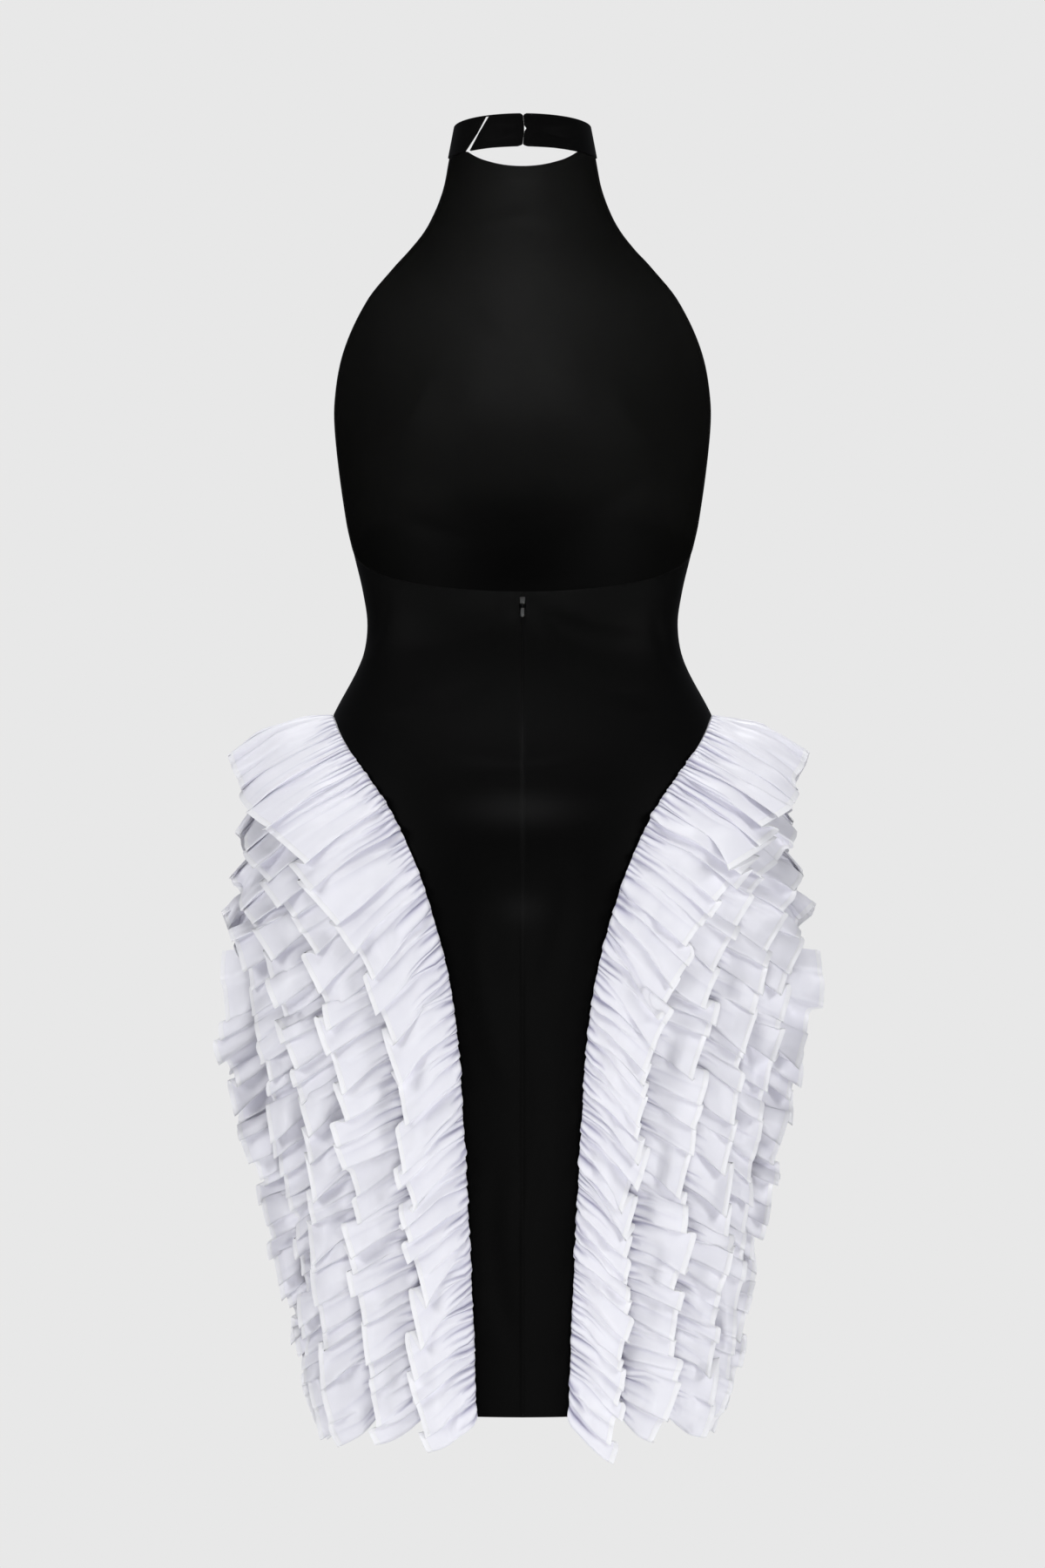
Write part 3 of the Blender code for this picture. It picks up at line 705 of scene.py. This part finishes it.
# HOLLOW_SHARE, PAINTED_HOLLOW_SHADE, VALLEY_POWER and PAINTED_SEAM_SHADE shape the painted shade in the
# creases' hollows and the puckers' valleys.
HOLLOW_SHARE = 0.3
PAINTED_HOLLOW_SHADE = 0.5
VALLEY_POWER = 1.3
PAINTED_SEAM_SHADE = 1.4
DENT_LENGTH = 0.022
DENT_ROWS = 4
DENT_DEPTHS = (0.0021, 0.0021, 0.0026, 0.0032, 0.0032)
DENTS_LAST = 0.9
HEM_RISE = 0.0004
HEM_SHARE = 0.94
FULLNESS = 1.6


def seam_leg(row, steps=600):
    """One leg of a ruffle seam from its top down: distance, arc, height and its direction."""
    top = HIP_POINT - ROW_DROP * (row - 1)
    height = top + (HEM - top) * np.linspace(0, 1, steps + 1) ** 2
    arc = np.array([0 if row == SIDE_ROW else arch_arc(h, row) for h in height])
    distance = np.concatenate(([0], np.cumsum(np.hypot(np.diff(arc), np.diff(height)))))
    return distance, arc, height, np.gradient(arc, distance), np.gradient(height, distance)


def run_of(q, length, low, high, rng, first=()):
    """Runs of random widths down a leg: the run that each column is in, its share there, the widths."""
    widths = list(first)
    while sum(widths) < length:
        widths.append(low + (high - low) * rng.uniform() ** NARROW_BIAS)
    widths = np.array(widths) * length / sum(widths)
    ends = np.concatenate(([0], np.cumsum(widths)))
    run = np.clip(np.searchsorted(ends, q, side="right") - 1, 0, len(widths) - 1)
    return run, np.clip((q - ends[run]) / widths[run], 0, 1), widths


def drawn(rng, limits, run):
    """A random value for each run, given to all the columns in it."""
    return rng.uniform(*limits, run.max() + 1)[run]


def smoothed(values, reach):
    """Each value's mean with its neighbours."""
    window = np.hanning(2 * reach + 3)[1:-1]
    return np.convolve(np.pad(values, reach, mode="edge"), window / window.sum(), mode="valid")


def wave_of(share, crest, bow):
    """From -1 up to 1 at the crest, and steeply back."""
    rising = -1 + 2 * np.clip(share / crest, 0, 1) ** bow
    falling = 1 - 2 * np.clip((share - crest) / (1 - crest), 0, 1)
    return np.where(share < crest, rising, falling)


def leg_columns(side, row, length, step, rng):
    """The strip's columns down a leg: distance, folds, creases and puckers with their random sizes."""
    q = np.linspace(0, length, round(length / step) + 1)
    narrow, wide, most_curl, first = FOLDS[side if row == 1 else row]
    fold, share, widths = run_of(q, length, narrow, wide, rng, first)
    crest = drawn(rng, FOLD_CREST, fold)
    profile = smoothed(wave_of(share, crest, drawn(rng, FOLD_BOW, fold)), 2)
    usual = (np.minimum(widths, WIDEST_LIFT) / USUAL_FOLD) ** WIDTH_POWER
    gain = smoothed(usual[fold] * drawn(rng, FOLD_HEIGHTS, fold), 6) * np.interp(q, *TOP_EASE)
    slant = smoothed(widths[fold] * drawn(rng, FOLD_SLANT, fold), 4)
    sway = smoothed(drawn(rng, (-FALL_SWAY, FALL_SWAY), fold), 14)
    tilt = smoothed(drawn(rng, (-1, 1), fold), 5)
    edge_curl = smoothed(drawn(rng, (LEAST_CURL, most_curl), fold), 5)
    reach = smoothed(drawn(rng, (-FOLD_STEP, FOLD_STEP), fold), 2)
    calm = np.clip(q / HIP_CALM, CALM_LEAST, 1)
    crease, share, widths = run_of(q, length, *CREASE_WIDTHS, rng)
    creases = smoothed(wave_of(share, CREASE_CREST, 1) + 1, 1) * drawn(rng, CREASE_HEIGHTS, crease) * calm
    crease_end = smoothed(drawn(rng, CREASE_ENDS, crease), 3)
    # hollow marks the start of each crease, where painted shade goes.
    hollow = np.clip(1 - share / HOLLOW_SHARE, 0, 1) ** 2 * calm
    pucker, share, widths = run_of(q, length, *PUCKER_WIDTHS, rng)
    round_share = 4 * share * (1 - share)
    height = drawn(rng, PUCKER_HEIGHTS, pucker) * widths[pucker] / USUAL_PUCKER
    puckers = round_share**PUCKER_ROUND * height * calm
    pucker_end = (PUCKER_END + PUCKER_LONGER * drawn(rng, (0, 1), pucker) ** 2) * (0.3 + 0.7 * calm)
    # valley marks the puckers' valleys, where painted shade goes.
    valley = np.clip(1 - round_share, 0, 1) ** VALLEY_POWER
    folds = (q, profile, gain, slant, reach, sway, tilt, edge_curl)
    return np.stack((*folds, creases, crease_end, hollow, puckers, pucker_end, valley))


def ruffle(side, name, values, material, seed):
    """A gathered strip on its seam: puckers at the seam run into folds that overlap downwards."""
    row, top_depth, leg_depth, hem_depth, top_angle, leg_angle, wave, step = values
    rng = np.random.default_rng(seed)
    distance, seam_arc, seam_height, seam_d_arc, seam_d_height = seam_leg(row)
    columns = leg_columns(side, row, distance[-1], step, rng)
    leg = np.ones(columns.shape[1])
    if row != SIDE_ROW:  # the back leg from its end up, then the front leg down
        front = leg_columns(side, row, distance[-1], step, rng)
        front[1:, 0] = columns[1:, 0]
        columns = np.concatenate((columns[:, :0:-1], front), axis=1)
        leg = np.concatenate((leg[1:], -leg))
    q, profile, gain, slant, reach, sway, tilt, edge_curl = columns[:8]
    creases, crease_end, hollow, puckers, pucker_end, valley = columns[8:]
    arc = leg * np.interp(q, distance, seam_arc)
    height = np.interp(q, distance, seam_height)
    out_share = abs(np.interp(q, distance, seam_d_arc))
    down_share = abs(np.interp(q, distance, seam_d_height))
    steep = np.minimum(1, down_share / STEEP)
    if row == SIDE_ROW:
        steep = np.clip(SIDE_START + q / SIDE_EASE, 0, 1)

    close = np.clip(1 - (distance[-1] - q) / END_ROUND, 0, 1)
    lower = np.clip((LEG_FULL_DEPTH - height) / (LEG_FULL_DEPTH - HEM), 0, 1)
    depth = leg_depth + (hem_depth - leg_depth) * lower
    depth = (top_depth + (depth - top_depth) * steep) * (1 + reach) * (LATER_DEPTH[side] if row > 1 else 1)
    depth = depth * (1 - END_CUT * close**2)
    size = depth / USUAL_DEPTH
    drape = np.clip((down_share - FALL_FROM) / (1 - FALL_FROM), LEAST_FALL, 1) * steep
    fall_share = LATER_FALL[side] + (1 - LATER_FALL[side]) * END_SHARE * close if row > 1 else 1
    angle = np.radians(top_angle + (leg_angle - top_angle) * steep + tilt * FOLD_TILT[row - 1])
    curl = np.radians(TOP_CURL + (LEG_CURL - TOP_CURL) * steep) * (row != SIDE_ROW)
    normal = np.stack(
        (leg * down_share * np.sin(angle), out_share * np.sin(angle), np.cos(angle)), axis=-1
    )
    down = np.stack((leg * out_share, -down_share, 0 * q), axis=-1) * np.minimum(1, q / TOP_LEAN)[:, None]
    cloth = np.concatenate(([0], np.cumsum(abs(np.diff(q))))) * FULLNESS
    cells = rng.normal(0, 1, (DENT_ROWS + 1, int(cloth[-1] / DENT_LENGTH) + 2))

    here = np.stack((arc, height, np.full(len(q), RUFFLE_LIFT)), axis=-1)
    points, uvs, painted_light = [], [], []
    last = 0
    for share in DEPTH_ROWS:
        middle = (share + last) / 2
        bend = angle + curl * (0.5 - middle)
        fall = np.interp(middle, *FALL[side]) * fall_share
        fall = fall + sway + close * (np.interp(middle, *END_FALL) + END_DROPS[row - 1])
        way = np.stack(
            (-leg * down_share * np.cos(bend), -out_share * np.cos(bend) - fall * drape, np.sin(bend)),
            axis=-1,
        )
        way /= np.linalg.norm(way, axis=1)[:, None]
        here = here + way * (depth * (share - last))[:, None]
        last = share
        edge = 1 + edge_curl * max(0, share - CURL_FROM) / (1 - CURL_FROM)
        fold = profile * gain * wave * size * share**FOLD_GROWTH * edge
        crease = creases * CREASE_RISE * min(1, CREASE_START + share * 4)
        crease = crease * np.clip(1 - share / crease_end, CREASE_LEAST, 1)
        seam = np.clip(1 - share / pucker_end, 0, 1)
        pucker = puckers * PUCKER_RISE * min(1, PUCKER_START + share * 20) * seam
        upper = min(int(share * DENT_ROWS), DENT_ROWS - 1)
        ease = (1 - math.cos(math.pi * (share * DENT_ROWS - upper))) / 2
        between = cells[upper] * (1 - ease) + cells[upper + 1] * ease
        dent = np.interp(cloth / DENT_LENGTH, np.arange(len(between)), between) * DENT_DEPTHS[row - 1]
        dent *= math.sin(math.pi * min(share, DENTS_LAST)) ** 0.5
        push = fold + crease + pucker + smoothed(dent, 6) + HEM_RISE * (share > HEM_SHARE)
        along = fold * FOLD_LEAN + crease * CREASE_LEAN
        place = here + normal * push[:, None] + down * along[:, None]
        place = place - way * (profile * share * slant * steep / 2)[:, None]
        lift = np.maximum(place[:, 2], LEAST_LIFT)
        points.append(skin_points(side, place[:, 0], place[:, 1], lift))
        uvs.append(np.stack((cloth, (1 - share) * depth), axis=-1))
        # Painted shade: the puckers' valleys near the seam and the creases' hollows are darkened through
        # the attribute.
        painted_seam_shade = np.clip(PAINTED_SEAM_SHADE * valley * seam**0.6, 0, 1)
        painted_light.append(np.maximum(painted_seam_shade, PAINTED_HOLLOW_SHADE * hollow * np.clip(1 - share / crease_end, 0, 1)))

    points, uvs, painted_light = np.array(points), np.array(uvs), np.array(painted_light)
    strip = new_cloth(f"cloth_{name}", points, uvs, RUFFLE_WALL, material, offset=0, painted_light=painted_light)
    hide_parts(name)
    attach(strip, "dress")


HEM_WIDTH = 0.0042
STITCH_LINE = 0.0036
STITCH_REACH = 0.00035
STITCH_PITCH = 0.0026
STITCH_SPACE = 0.14
TWILL_SCALE = 520
SATIN_TONES = ((0.848, 0.842, 0.918), (0.918, 0.912, 0.972))
HEM_COLOUR = (0.94, 0.938, 0.965)
# The lavender grey of the painted shade in the ruffles' valleys and hollows.
PAINTED_VALLEY_SHADE = (0.30, 0.29, 0.42)
satin_weave, cloth_at, ends = new_group(
    "satin_weave", (("Tone", FLOAT), ("Hem", FLOAT), ("Stitch", FLOAT), ("Normal", VECTOR))
)
turned = add_node(
    satin_weave, "ShaderNodeMapping", (("Vector", cloth_at),), Rotation=(0, 0, math.radians(45))
)
bias = turned.outputs["Vector"]
twill = add_node(satin_weave, "ShaderNodeTexWave", (("Vector", bias),), Scale=TWILL_SCALE)
slub = add_node(satin_weave, "ShaderNodeTexNoise", (("Vector", bias),), Scale=60.0, Detail=5.0)
place = add_node(satin_weave, "ShaderNodeSeparateXYZ", (("Vector", cloth_at),))
along, edge = place.outputs["X"], place.outputs["Y"]
hem = math_node(satin_weave, "COMPARE", edge, HEM_WIDTH / 2, HEM_WIDTH / 2)
line = math_node(satin_weave, "COMPARE", edge, STITCH_LINE, STITCH_REACH)
beat = math_node(satin_weave, "PINGPONG", along, STITCH_PITCH / 2)
dash = math_node(satin_weave, "GREATER_THAN", beat, STITCH_PITCH * STITCH_SPACE)
stitch = math_node(satin_weave, "MULTIPLY", line, dash)
raised = math_node(satin_weave, "SUBTRACT", hem, stitch)
twill_bump = add_node(
    satin_weave, "ShaderNodeBump", (("Height", twill.outputs["Fac"]),), Strength=0.35, Distance=0.00006
)
hem_bump = add_node(
    satin_weave,
    "ShaderNodeBump",
    (("Height", raised), ("Normal", twill_bump.outputs["Normal"])),
    Strength=0.8,
    Distance=0.0003,
)
for source, socket in ((slub.outputs["Fac"], "Tone"), (hem, "Hem"), (stitch, "Stitch")):
    satin_weave.links.new(source, ends.inputs[socket])
satin_weave.links.new(hem_bump.outputs["Normal"], ends.inputs["Normal"])

white_satin = new_weave(
    "white_satin", satin_weave, SATIN_TONES, roughness=0.40, specular=0.45, sheen=0.05
)
tree = white_satin.node_tree
shader = tree.nodes["Principled BSDF"]
shader.inputs["Subsurface Weight"].default_value = 0.35
shader.inputs["Subsurface Radius"].default_value = (1.0, 1.0, 1.0)
shader.inputs["Subsurface Scale"].default_value = 0.0015
# The attribute holds painted shade, which tints the satin lavender grey in the puckers' valleys and the
# creases' hollows.
painted_shade_and_sheen = add_node(tree, "ShaderNodeAttribute", attribute_name="painted_shade_and_sheen")
hemmed = tint(tree, tree.nodes["weave"].outputs["Hem"], tree.nodes["tones"].outputs["Color"], HEM_COLOUR)
tree.links.new(tint(tree, painted_shade_and_sheen.outputs["Fac"], hemmed, PAINTED_VALLEY_SHADE), shader.inputs["Base Color"])
for side, word in SIDES:
    for values in RUFFLES:
        ruffle(side, f"ruffle_{word}_{values[0]}", values, white_satin, seed=10 * values[0] + side)

# Neck band
# Two halves of doubled black crepe with pressed edges, sewn to the front's corners. They meet at the
# centre back; the left half has a slanted slit.
NECK_HALF_WIDTH = 0.0590
NECK_HALF_DEPTH = 0.0550
NECK_TAPER = 0.0058
BAND_HIGH = 0.0135
BAND_FALL = 0.0050
BAND_TURN = math.radians(128)
BAND_WALL = 0.0019
PRESSED_ROUND = 0.0005
BAND_TONES = ((0.0007, 0.0007, 0.0007), (0.0022, 0.0022, 0.0020))
CLOSURE = (  # share of the band's height, x of the left end, x of the right end
    (0.00, -0.0042, 0.0046),
    (0.03, -0.0013, 0.0016),
    (0.06, 0.0001, 0.0003),
    (0.45, 0.0014, 0.0015),
    (0.49, 0.0014, 0.0023),
    (0.545, 0.0014, 0.0034),
    (0.60, 0.0014, 0.0023),
    (0.64, 0.0012, 0.0013),
    (0.93, 0.0005, 0.0006),
    (0.965, -0.0002, 0.0012),
    (1.00, -0.0022, 0.0036),
)
SLIT_TOP_X = -0.0302
SLIT_BOTTOM_X = -0.0438
SLIT_WIDTHS = (0.0031, 0.0023, 0.0044)
BAND_ROWS = 36
COLUMNS_TO_SLIT = 33
COLUMNS_FROM_SLIT = 37
SLIT_BRIDGE_ROWS = 1
BAND_CREASES = (  # as FRONT_CREASES
    (0.022, 0.003, 0.016, 4, 0.0022, 0.0005),
    (0.030, -0.005, 0.014, -8, 0.0020, -0.0004),
    (-0.016, 0.002, 0.012, -5, 0.0022, 0.0004),
    (-0.018, -0.006, 0.012, 9, 0.0020, -0.0004),
    (0.006, -0.003, 0.006, 70, 0.0016, 0.0004),
    (-0.005, -0.004, 0.006, -72, 0.0016, 0.0004),
)


def neck_band(side, word, material):
    """Half of the band, with columns that follow the slit; only the left half is cut open there."""
    before = np.linspace(0, 1, COLUMNS_TO_SLIT)
    after = np.linspace(0, 1, COLUMNS_FROM_SLIT)
    rows = []
    for down in np.linspace(0, 1, BAND_ROWS + 1):
        share, left_end, right_end = np.array(CLOSURE).T
        end = np.interp(1 - down, share, left_end if side < 0 else right_end)
        start = side * end / NECK_HALF_WIDTH
        middle = SLIT_TOP_X + (SLIT_BOTTOM_X - SLIT_TOP_X) * down
        width = np.interp(down, (0, 0.5, 1), SLIT_WIDTHS)
        near = math.asin(-(middle + width / 2) / NECK_HALF_WIDTH)
        far = math.asin(-(middle - width / 2) / NECK_HALF_WIDTH)
        turn = np.concatenate((start + (near - start) * before, far + (BAND_TURN - far) * after))
        low = np.interp(np.degrees(turn), *np.array(NECK_SEAM).T)
        high = BAND_HIGH - BAND_FALL * (1 - np.cos(turn))
        height = low + (high - low) * (1 - down)
        taper = 1 - NECK_TAPER * (height - low) / (BAND_HIGH - low) / NECK_HALF_WIDTH
        x = side * NECK_HALF_WIDTH * np.sin(turn) * taper
        rows.append(np.stack((x, -NECK_HALF_DEPTH * np.cos(turn) * taper, height), axis=-1))
    points = np.array(rows)
    push = creases_at(BAND_CREASES, points[..., 0], points[..., 2]) * (points[..., 1] < 0)
    band = new_cloth(f"cloth_band_{word}", pushed_out(points, push), cloth_uvs(points), BAND_WALL, material)
    if side < 0:
        bm = bmesh.new()
        bm.from_mesh(band.data)
        columns = points.shape[1]
        gap = []
        for face in bm.faces:
            across = [vert.index % columns for vert in face.verts]
            down = [BAND_ROWS - vert.index // columns for vert in face.verts]
            if min(across) == COLUMNS_TO_SLIT - 1 and min(down) >= SLIT_BRIDGE_ROWS:
                gap.append(face)
        bmesh.ops.delete(bm, geom=gap, context="FACES")
        bm.to_mesh(band.data)
        bm.free()
    bevel = band.modifiers.new("pressed", "BEVEL")
    bevel.width = PRESSED_ROUND
    bevel.segments = 2
    bevel.limit_method = "ANGLE"
    bevel.angle_limit = math.radians(50)
    hang(band, f"neck_band_{word}")


pressed_crepe = new_weave("black_crepe_band", crepe_weave, BAND_TONES, roughness=0.55, specular=0.038)
for side, word in SIDES:
    neck_band(side, word, pressed_crepe)

# Hook and eye
# A hook and an eye of bent steel wire close the band at the centre back. Each is sewn to the inside
# of its half, where hardly any of the wire shows.
DRAWN_GRAIN = 900
STEEL_TONES = ((0.30, 0.30, 0.31), (0.50, 0.50, 0.51))
metal_grain, metal_at, ends = new_group("metal_grain", (("Tone", FLOAT), ("Normal", VECTOR)))
speck = add_node(metal_grain, "ShaderNodeTexNoise", (("Vector", metal_at),), Scale=DRAWN_GRAIN, Detail=3.0)
rub = add_node(
    metal_grain, "ShaderNodeBump", (("Height", speck.outputs["Fac"]),), Strength=0.3, Distance=0.00005
)
metal_grain.links.new(speck.outputs["Fac"], ends.inputs["Tone"])
metal_grain.links.new(rub.outputs["Normal"], ends.inputs["Normal"])
steel = new_weave(
    "steel_wire", metal_grain, STEEL_TONES, roughness=0.35, specular=0.5, metallic=1.0, cloth=False
)
for name in ("neck_hook", "neck_eye"):
    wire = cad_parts[name]
    wire.data.materials.clear()
    wire.data.materials.append(steel)
    wire.data.shade_smooth()

# Zip slider and pull
# A small slider of black painted metal at the top of the centre seam, and its flat pull tab, which
# hangs from the slider's loop.
SLIDER_TOP = -0.3765
SLIDER_WIDTH = 0.0044
SLIDER_LENGTH = 0.0070
SLIDER_THICK = 0.0012
SLIDER_TAPER = 0.72
SLIDER_ROUND = 0.0003
SLIDER_GAP = 0.0003
LOOP_HOLE = 0.0019
LOOP_WIRE = 0.0007
PULL_HEIGHT = -0.3822
PULL_THICK = 0.0009
PULL_ACROSS = (-0.00225, -0.0012, 0.0012, 0.00225)
PULL_DOWN = (0.00045, -0.00045, -0.00305, -0.00905)
PULL_ROUND = 0.0002
TAB_RIM = 0.0002
TAB_RISE = 0.00025
PAINT_TONES = ((0.003, 0.003, 0.003), (0.009, 0.009, 0.009))


def finish_metal(name, bm, material, body, replaced, bevel_width):
    """Makes a bmesh a small metal piece on its body, with rounded edges."""
    bmesh.ops.recalc_face_normals(bm, faces=bm.faces)
    piece = new_piece(name, bm, material)
    bevel = piece.modifiers.new("worn_edges", "BEVEL")
    bevel.width = bevel_width
    bevel.segments = 2
    bevel.limit_method = "ANGLE"
    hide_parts(replaced)
    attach(piece, body)


black_paint = new_weave(
    "black_paint", metal_grain, PAINT_TONES, roughness=0.45, specular=0.5, cloth=False
)
cloth_out = min(back_section(SLIDER_TOP - SLIDER_LENGTH * i / 4, np.array(0.0))[1] for i in range(5))
slider_back = cloth_out - WALL - SLIDER_GAP
slider_face = slider_back - SLIDER_THICK

bm = bmesh.new()
bmesh.ops.create_cube(bm, size=1)
bmesh.ops.scale(bm, verts=bm.verts, vec=(SLIDER_WIDTH, SLIDER_THICK, SLIDER_LENGTH))
for vert in bm.verts:
    if vert.co.z < 0:
        vert.co.x *= SLIDER_TAPER
bmesh.ops.translate(
    bm, verts=bm.verts, vec=(0, (slider_back + slider_face) / 2, SLIDER_TOP - SLIDER_LENGTH / 2)
)
ring = bmesh.ops.create_circle(bm, segments=10, radius=LOOP_WIRE / 2)["verts"]
loop_radius = (LOOP_HOLE + LOOP_WIRE) / 2
bmesh.ops.translate(bm, verts=ring, vec=(0, loop_radius, 0))
rim = [edge for edge in bm.edges if edge.verts[0] in ring]
bmesh.ops.spin(bm, geom=ring + rim, cent=(0, 0, 0), axis=(1, 0, 0), angle=-math.pi, steps=14)
loop = [vert for vert in bm.verts if vert.co.z > SLIDER_TOP / 2]
bmesh.ops.rotate(bm, verts=loop, matrix=Matrix.Rotation(math.pi / 2, 3, "X"), cent=(0, 0, 0))
for vert in loop:
    vert.co.y *= (LOOP_HOLE + LOOP_WIRE / 2) / loop_radius
    vert.co.y = slider_face - abs(vert.co.y)
    vert.co.z += PULL_HEIGHT
finish_metal("metal_slider", bm, black_paint, "dress", "zip_slider", SLIDER_ROUND)

bm = bmesh.new()
bmesh.ops.create_grid(bm, x_segments=3, y_segments=3, size=1.5)
window = [face for face in bm.faces if face.calc_center_median().length < 0.5]
bmesh.ops.delete(bm, geom=window, context="FACES")
pull_plane = slider_face - LOOP_HOLE / 2 + PULL_THICK / 2
for vert in bm.verts:
    column, row = round(vert.co.x + 1.5), round(1.5 - vert.co.y)
    vert.co = (PULL_ACROSS[column], pull_plane, PULL_HEIGHT + PULL_DOWN[row])
# The copy of the sheet lands lower in the same plane, so the frame round the window is flat. Only
# the tab has thickness, because its faces rise from the sheet on both sides.
bmesh.ops.solidify(bm, geom=bm.faces, thickness=PULL_THICK)
bmesh.ops.recalc_face_normals(bm, faces=bm.faces)
bm.faces.ensure_lookup_table()
tab = [
    face
    for face in bm.faces
    if abs(face.normal.y) > 0.9
    and abs(face.calc_center_median().x) < PULL_ACROSS[2]
    and face.calc_center_median().z < PULL_HEIGHT + PULL_DOWN[2]
]
bmesh.ops.inset_individual(bm, faces=tab, thickness=TAB_RIM, depth=-TAB_RISE)
finish_metal("metal_pull", bm, black_paint, "zip_pull", "zip_pull", PULL_ROUND)

# Camera
# It looks level at the middle of the dress's back. At the dress's centre line, 1408 of the picture's
# 1800 rows are one metre.
CAMERA_PLACE = (0, -4.0, -0.526)
LENS = 112.676
camera_data = bpy.data.cameras.new("camera")
camera_data.lens = LENS
camera = bpy.data.objects.new("camera", camera_data)
camera.location = CAMERA_PLACE
camera.rotation_euler = (math.radians(90), 0, 0)
bpy.context.scene.collection.objects.link(camera)
bpy.context.scene.camera = camera

# Studio
# A pale grey backdrop that only the camera sees, a cool dim sky, round lamps and a painted floor. The
# inner lamp's narrow beam comes from below, so the waist edge shades the low inside of the bodice.
BACKDROP_COLOUR = (0.807, 0.807, 0.807)
SKY_COLOUR = (0.9, 0.92, 1.0)
SKY_STRENGTH = 0.22
LAMPS = (  # name, place, target, width, power in watts, spread in degrees
    ("key", (0.1, -1.7, -1.02), (0, 0, -0.4), 0.7, 7.6, 180),
    ("top", (-0.6, -0.5, 2.2), (0, 0, -0.5), 1.6, 30, 180),
    ("left", (-2.2, -1.5, -0.1), (0, 0, -0.6), 1.2, 23, 180),
    ("right", (2.2, -1.5, -0.1), (0, 0, -0.6), 1.2, 25, 180),
    ("front", (0.2, 1.4, 2.1), (0, 0, -0.5), 2.0, 54, 180),
    ("inner", (0, -1.2, -0.78), (0.016, 0.1, -0.15), 0.44, 0.34, 12),
)
FLOOR_HEIGHT = -1.45
FLOOR_RADIUS = 1.7
FLOOR_TONES = ((0.797, 0.797, 0.797), (0.803, 0.803, 0.803))

scene = bpy.context.scene
scene.view_settings.view_transform = "Standard"
world = bpy.data.worlds.new("studio")
scene.world = world
world.use_nodes = True
tree = world.node_tree
sky = tree.nodes["Background"]
sky.inputs["Color"].default_value = (*SKY_COLOUR, 1)
sky.inputs["Strength"].default_value = SKY_STRENGTH
backdrop = add_node(tree, "ShaderNodeBackground", Color=(*BACKDROP_COLOUR, 1))
seen = add_node(tree, "ShaderNodeLightPath").outputs["Is Camera Ray"]
split = add_node(
    tree,
    "ShaderNodeMixShader",
    (("Fac", seen), (1, sky.outputs["Background"]), (2, backdrop.outputs["Background"])),
)
tree.links.new(split.outputs["Shader"], tree.nodes["World Output"].inputs["Surface"])

for name, place, target, width, power, spread in LAMPS:
    light = bpy.data.lights.new(name, "AREA")
    light.shape = "DISK"
    light.size = width
    light.energy = power
    light.spread = math.radians(spread)
    lamp = bpy.data.objects.new(name, light)
    lamp.visible_camera = False
    lamp.location = place
    lamp.rotation_euler = (Vector(target) - Vector(place)).to_track_quat("-Z", "Y").to_euler()
    scene.collection.objects.link(lamp)

bm = bmesh.new()
bmesh.ops.create_circle(bm, cap_ends=True, segments=96, radius=FLOOR_RADIUS)
bmesh.ops.translate(bm, verts=bm.verts, vec=(0, 0, FLOOR_HEIGHT))
floor_paint = new_material("floor_paint", FLOOR_TONES[1], roughness=0.9)
tree = floor_paint.node_tree
floor_at = add_node(tree, "ShaderNodeTexCoord").outputs["Object"]
roller = add_node(tree, "ShaderNodeTexNoise", (("Vector", floor_at),), Scale=1.5, Detail=4.0)
ramp = add_tones(tree, roller.outputs["Fac"], FLOOR_TONES)
tree.links.new(ramp.outputs["Color"], tree.nodes["Principled BSDF"].inputs["Base Color"])
new_piece("floor", bm, floor_paint)
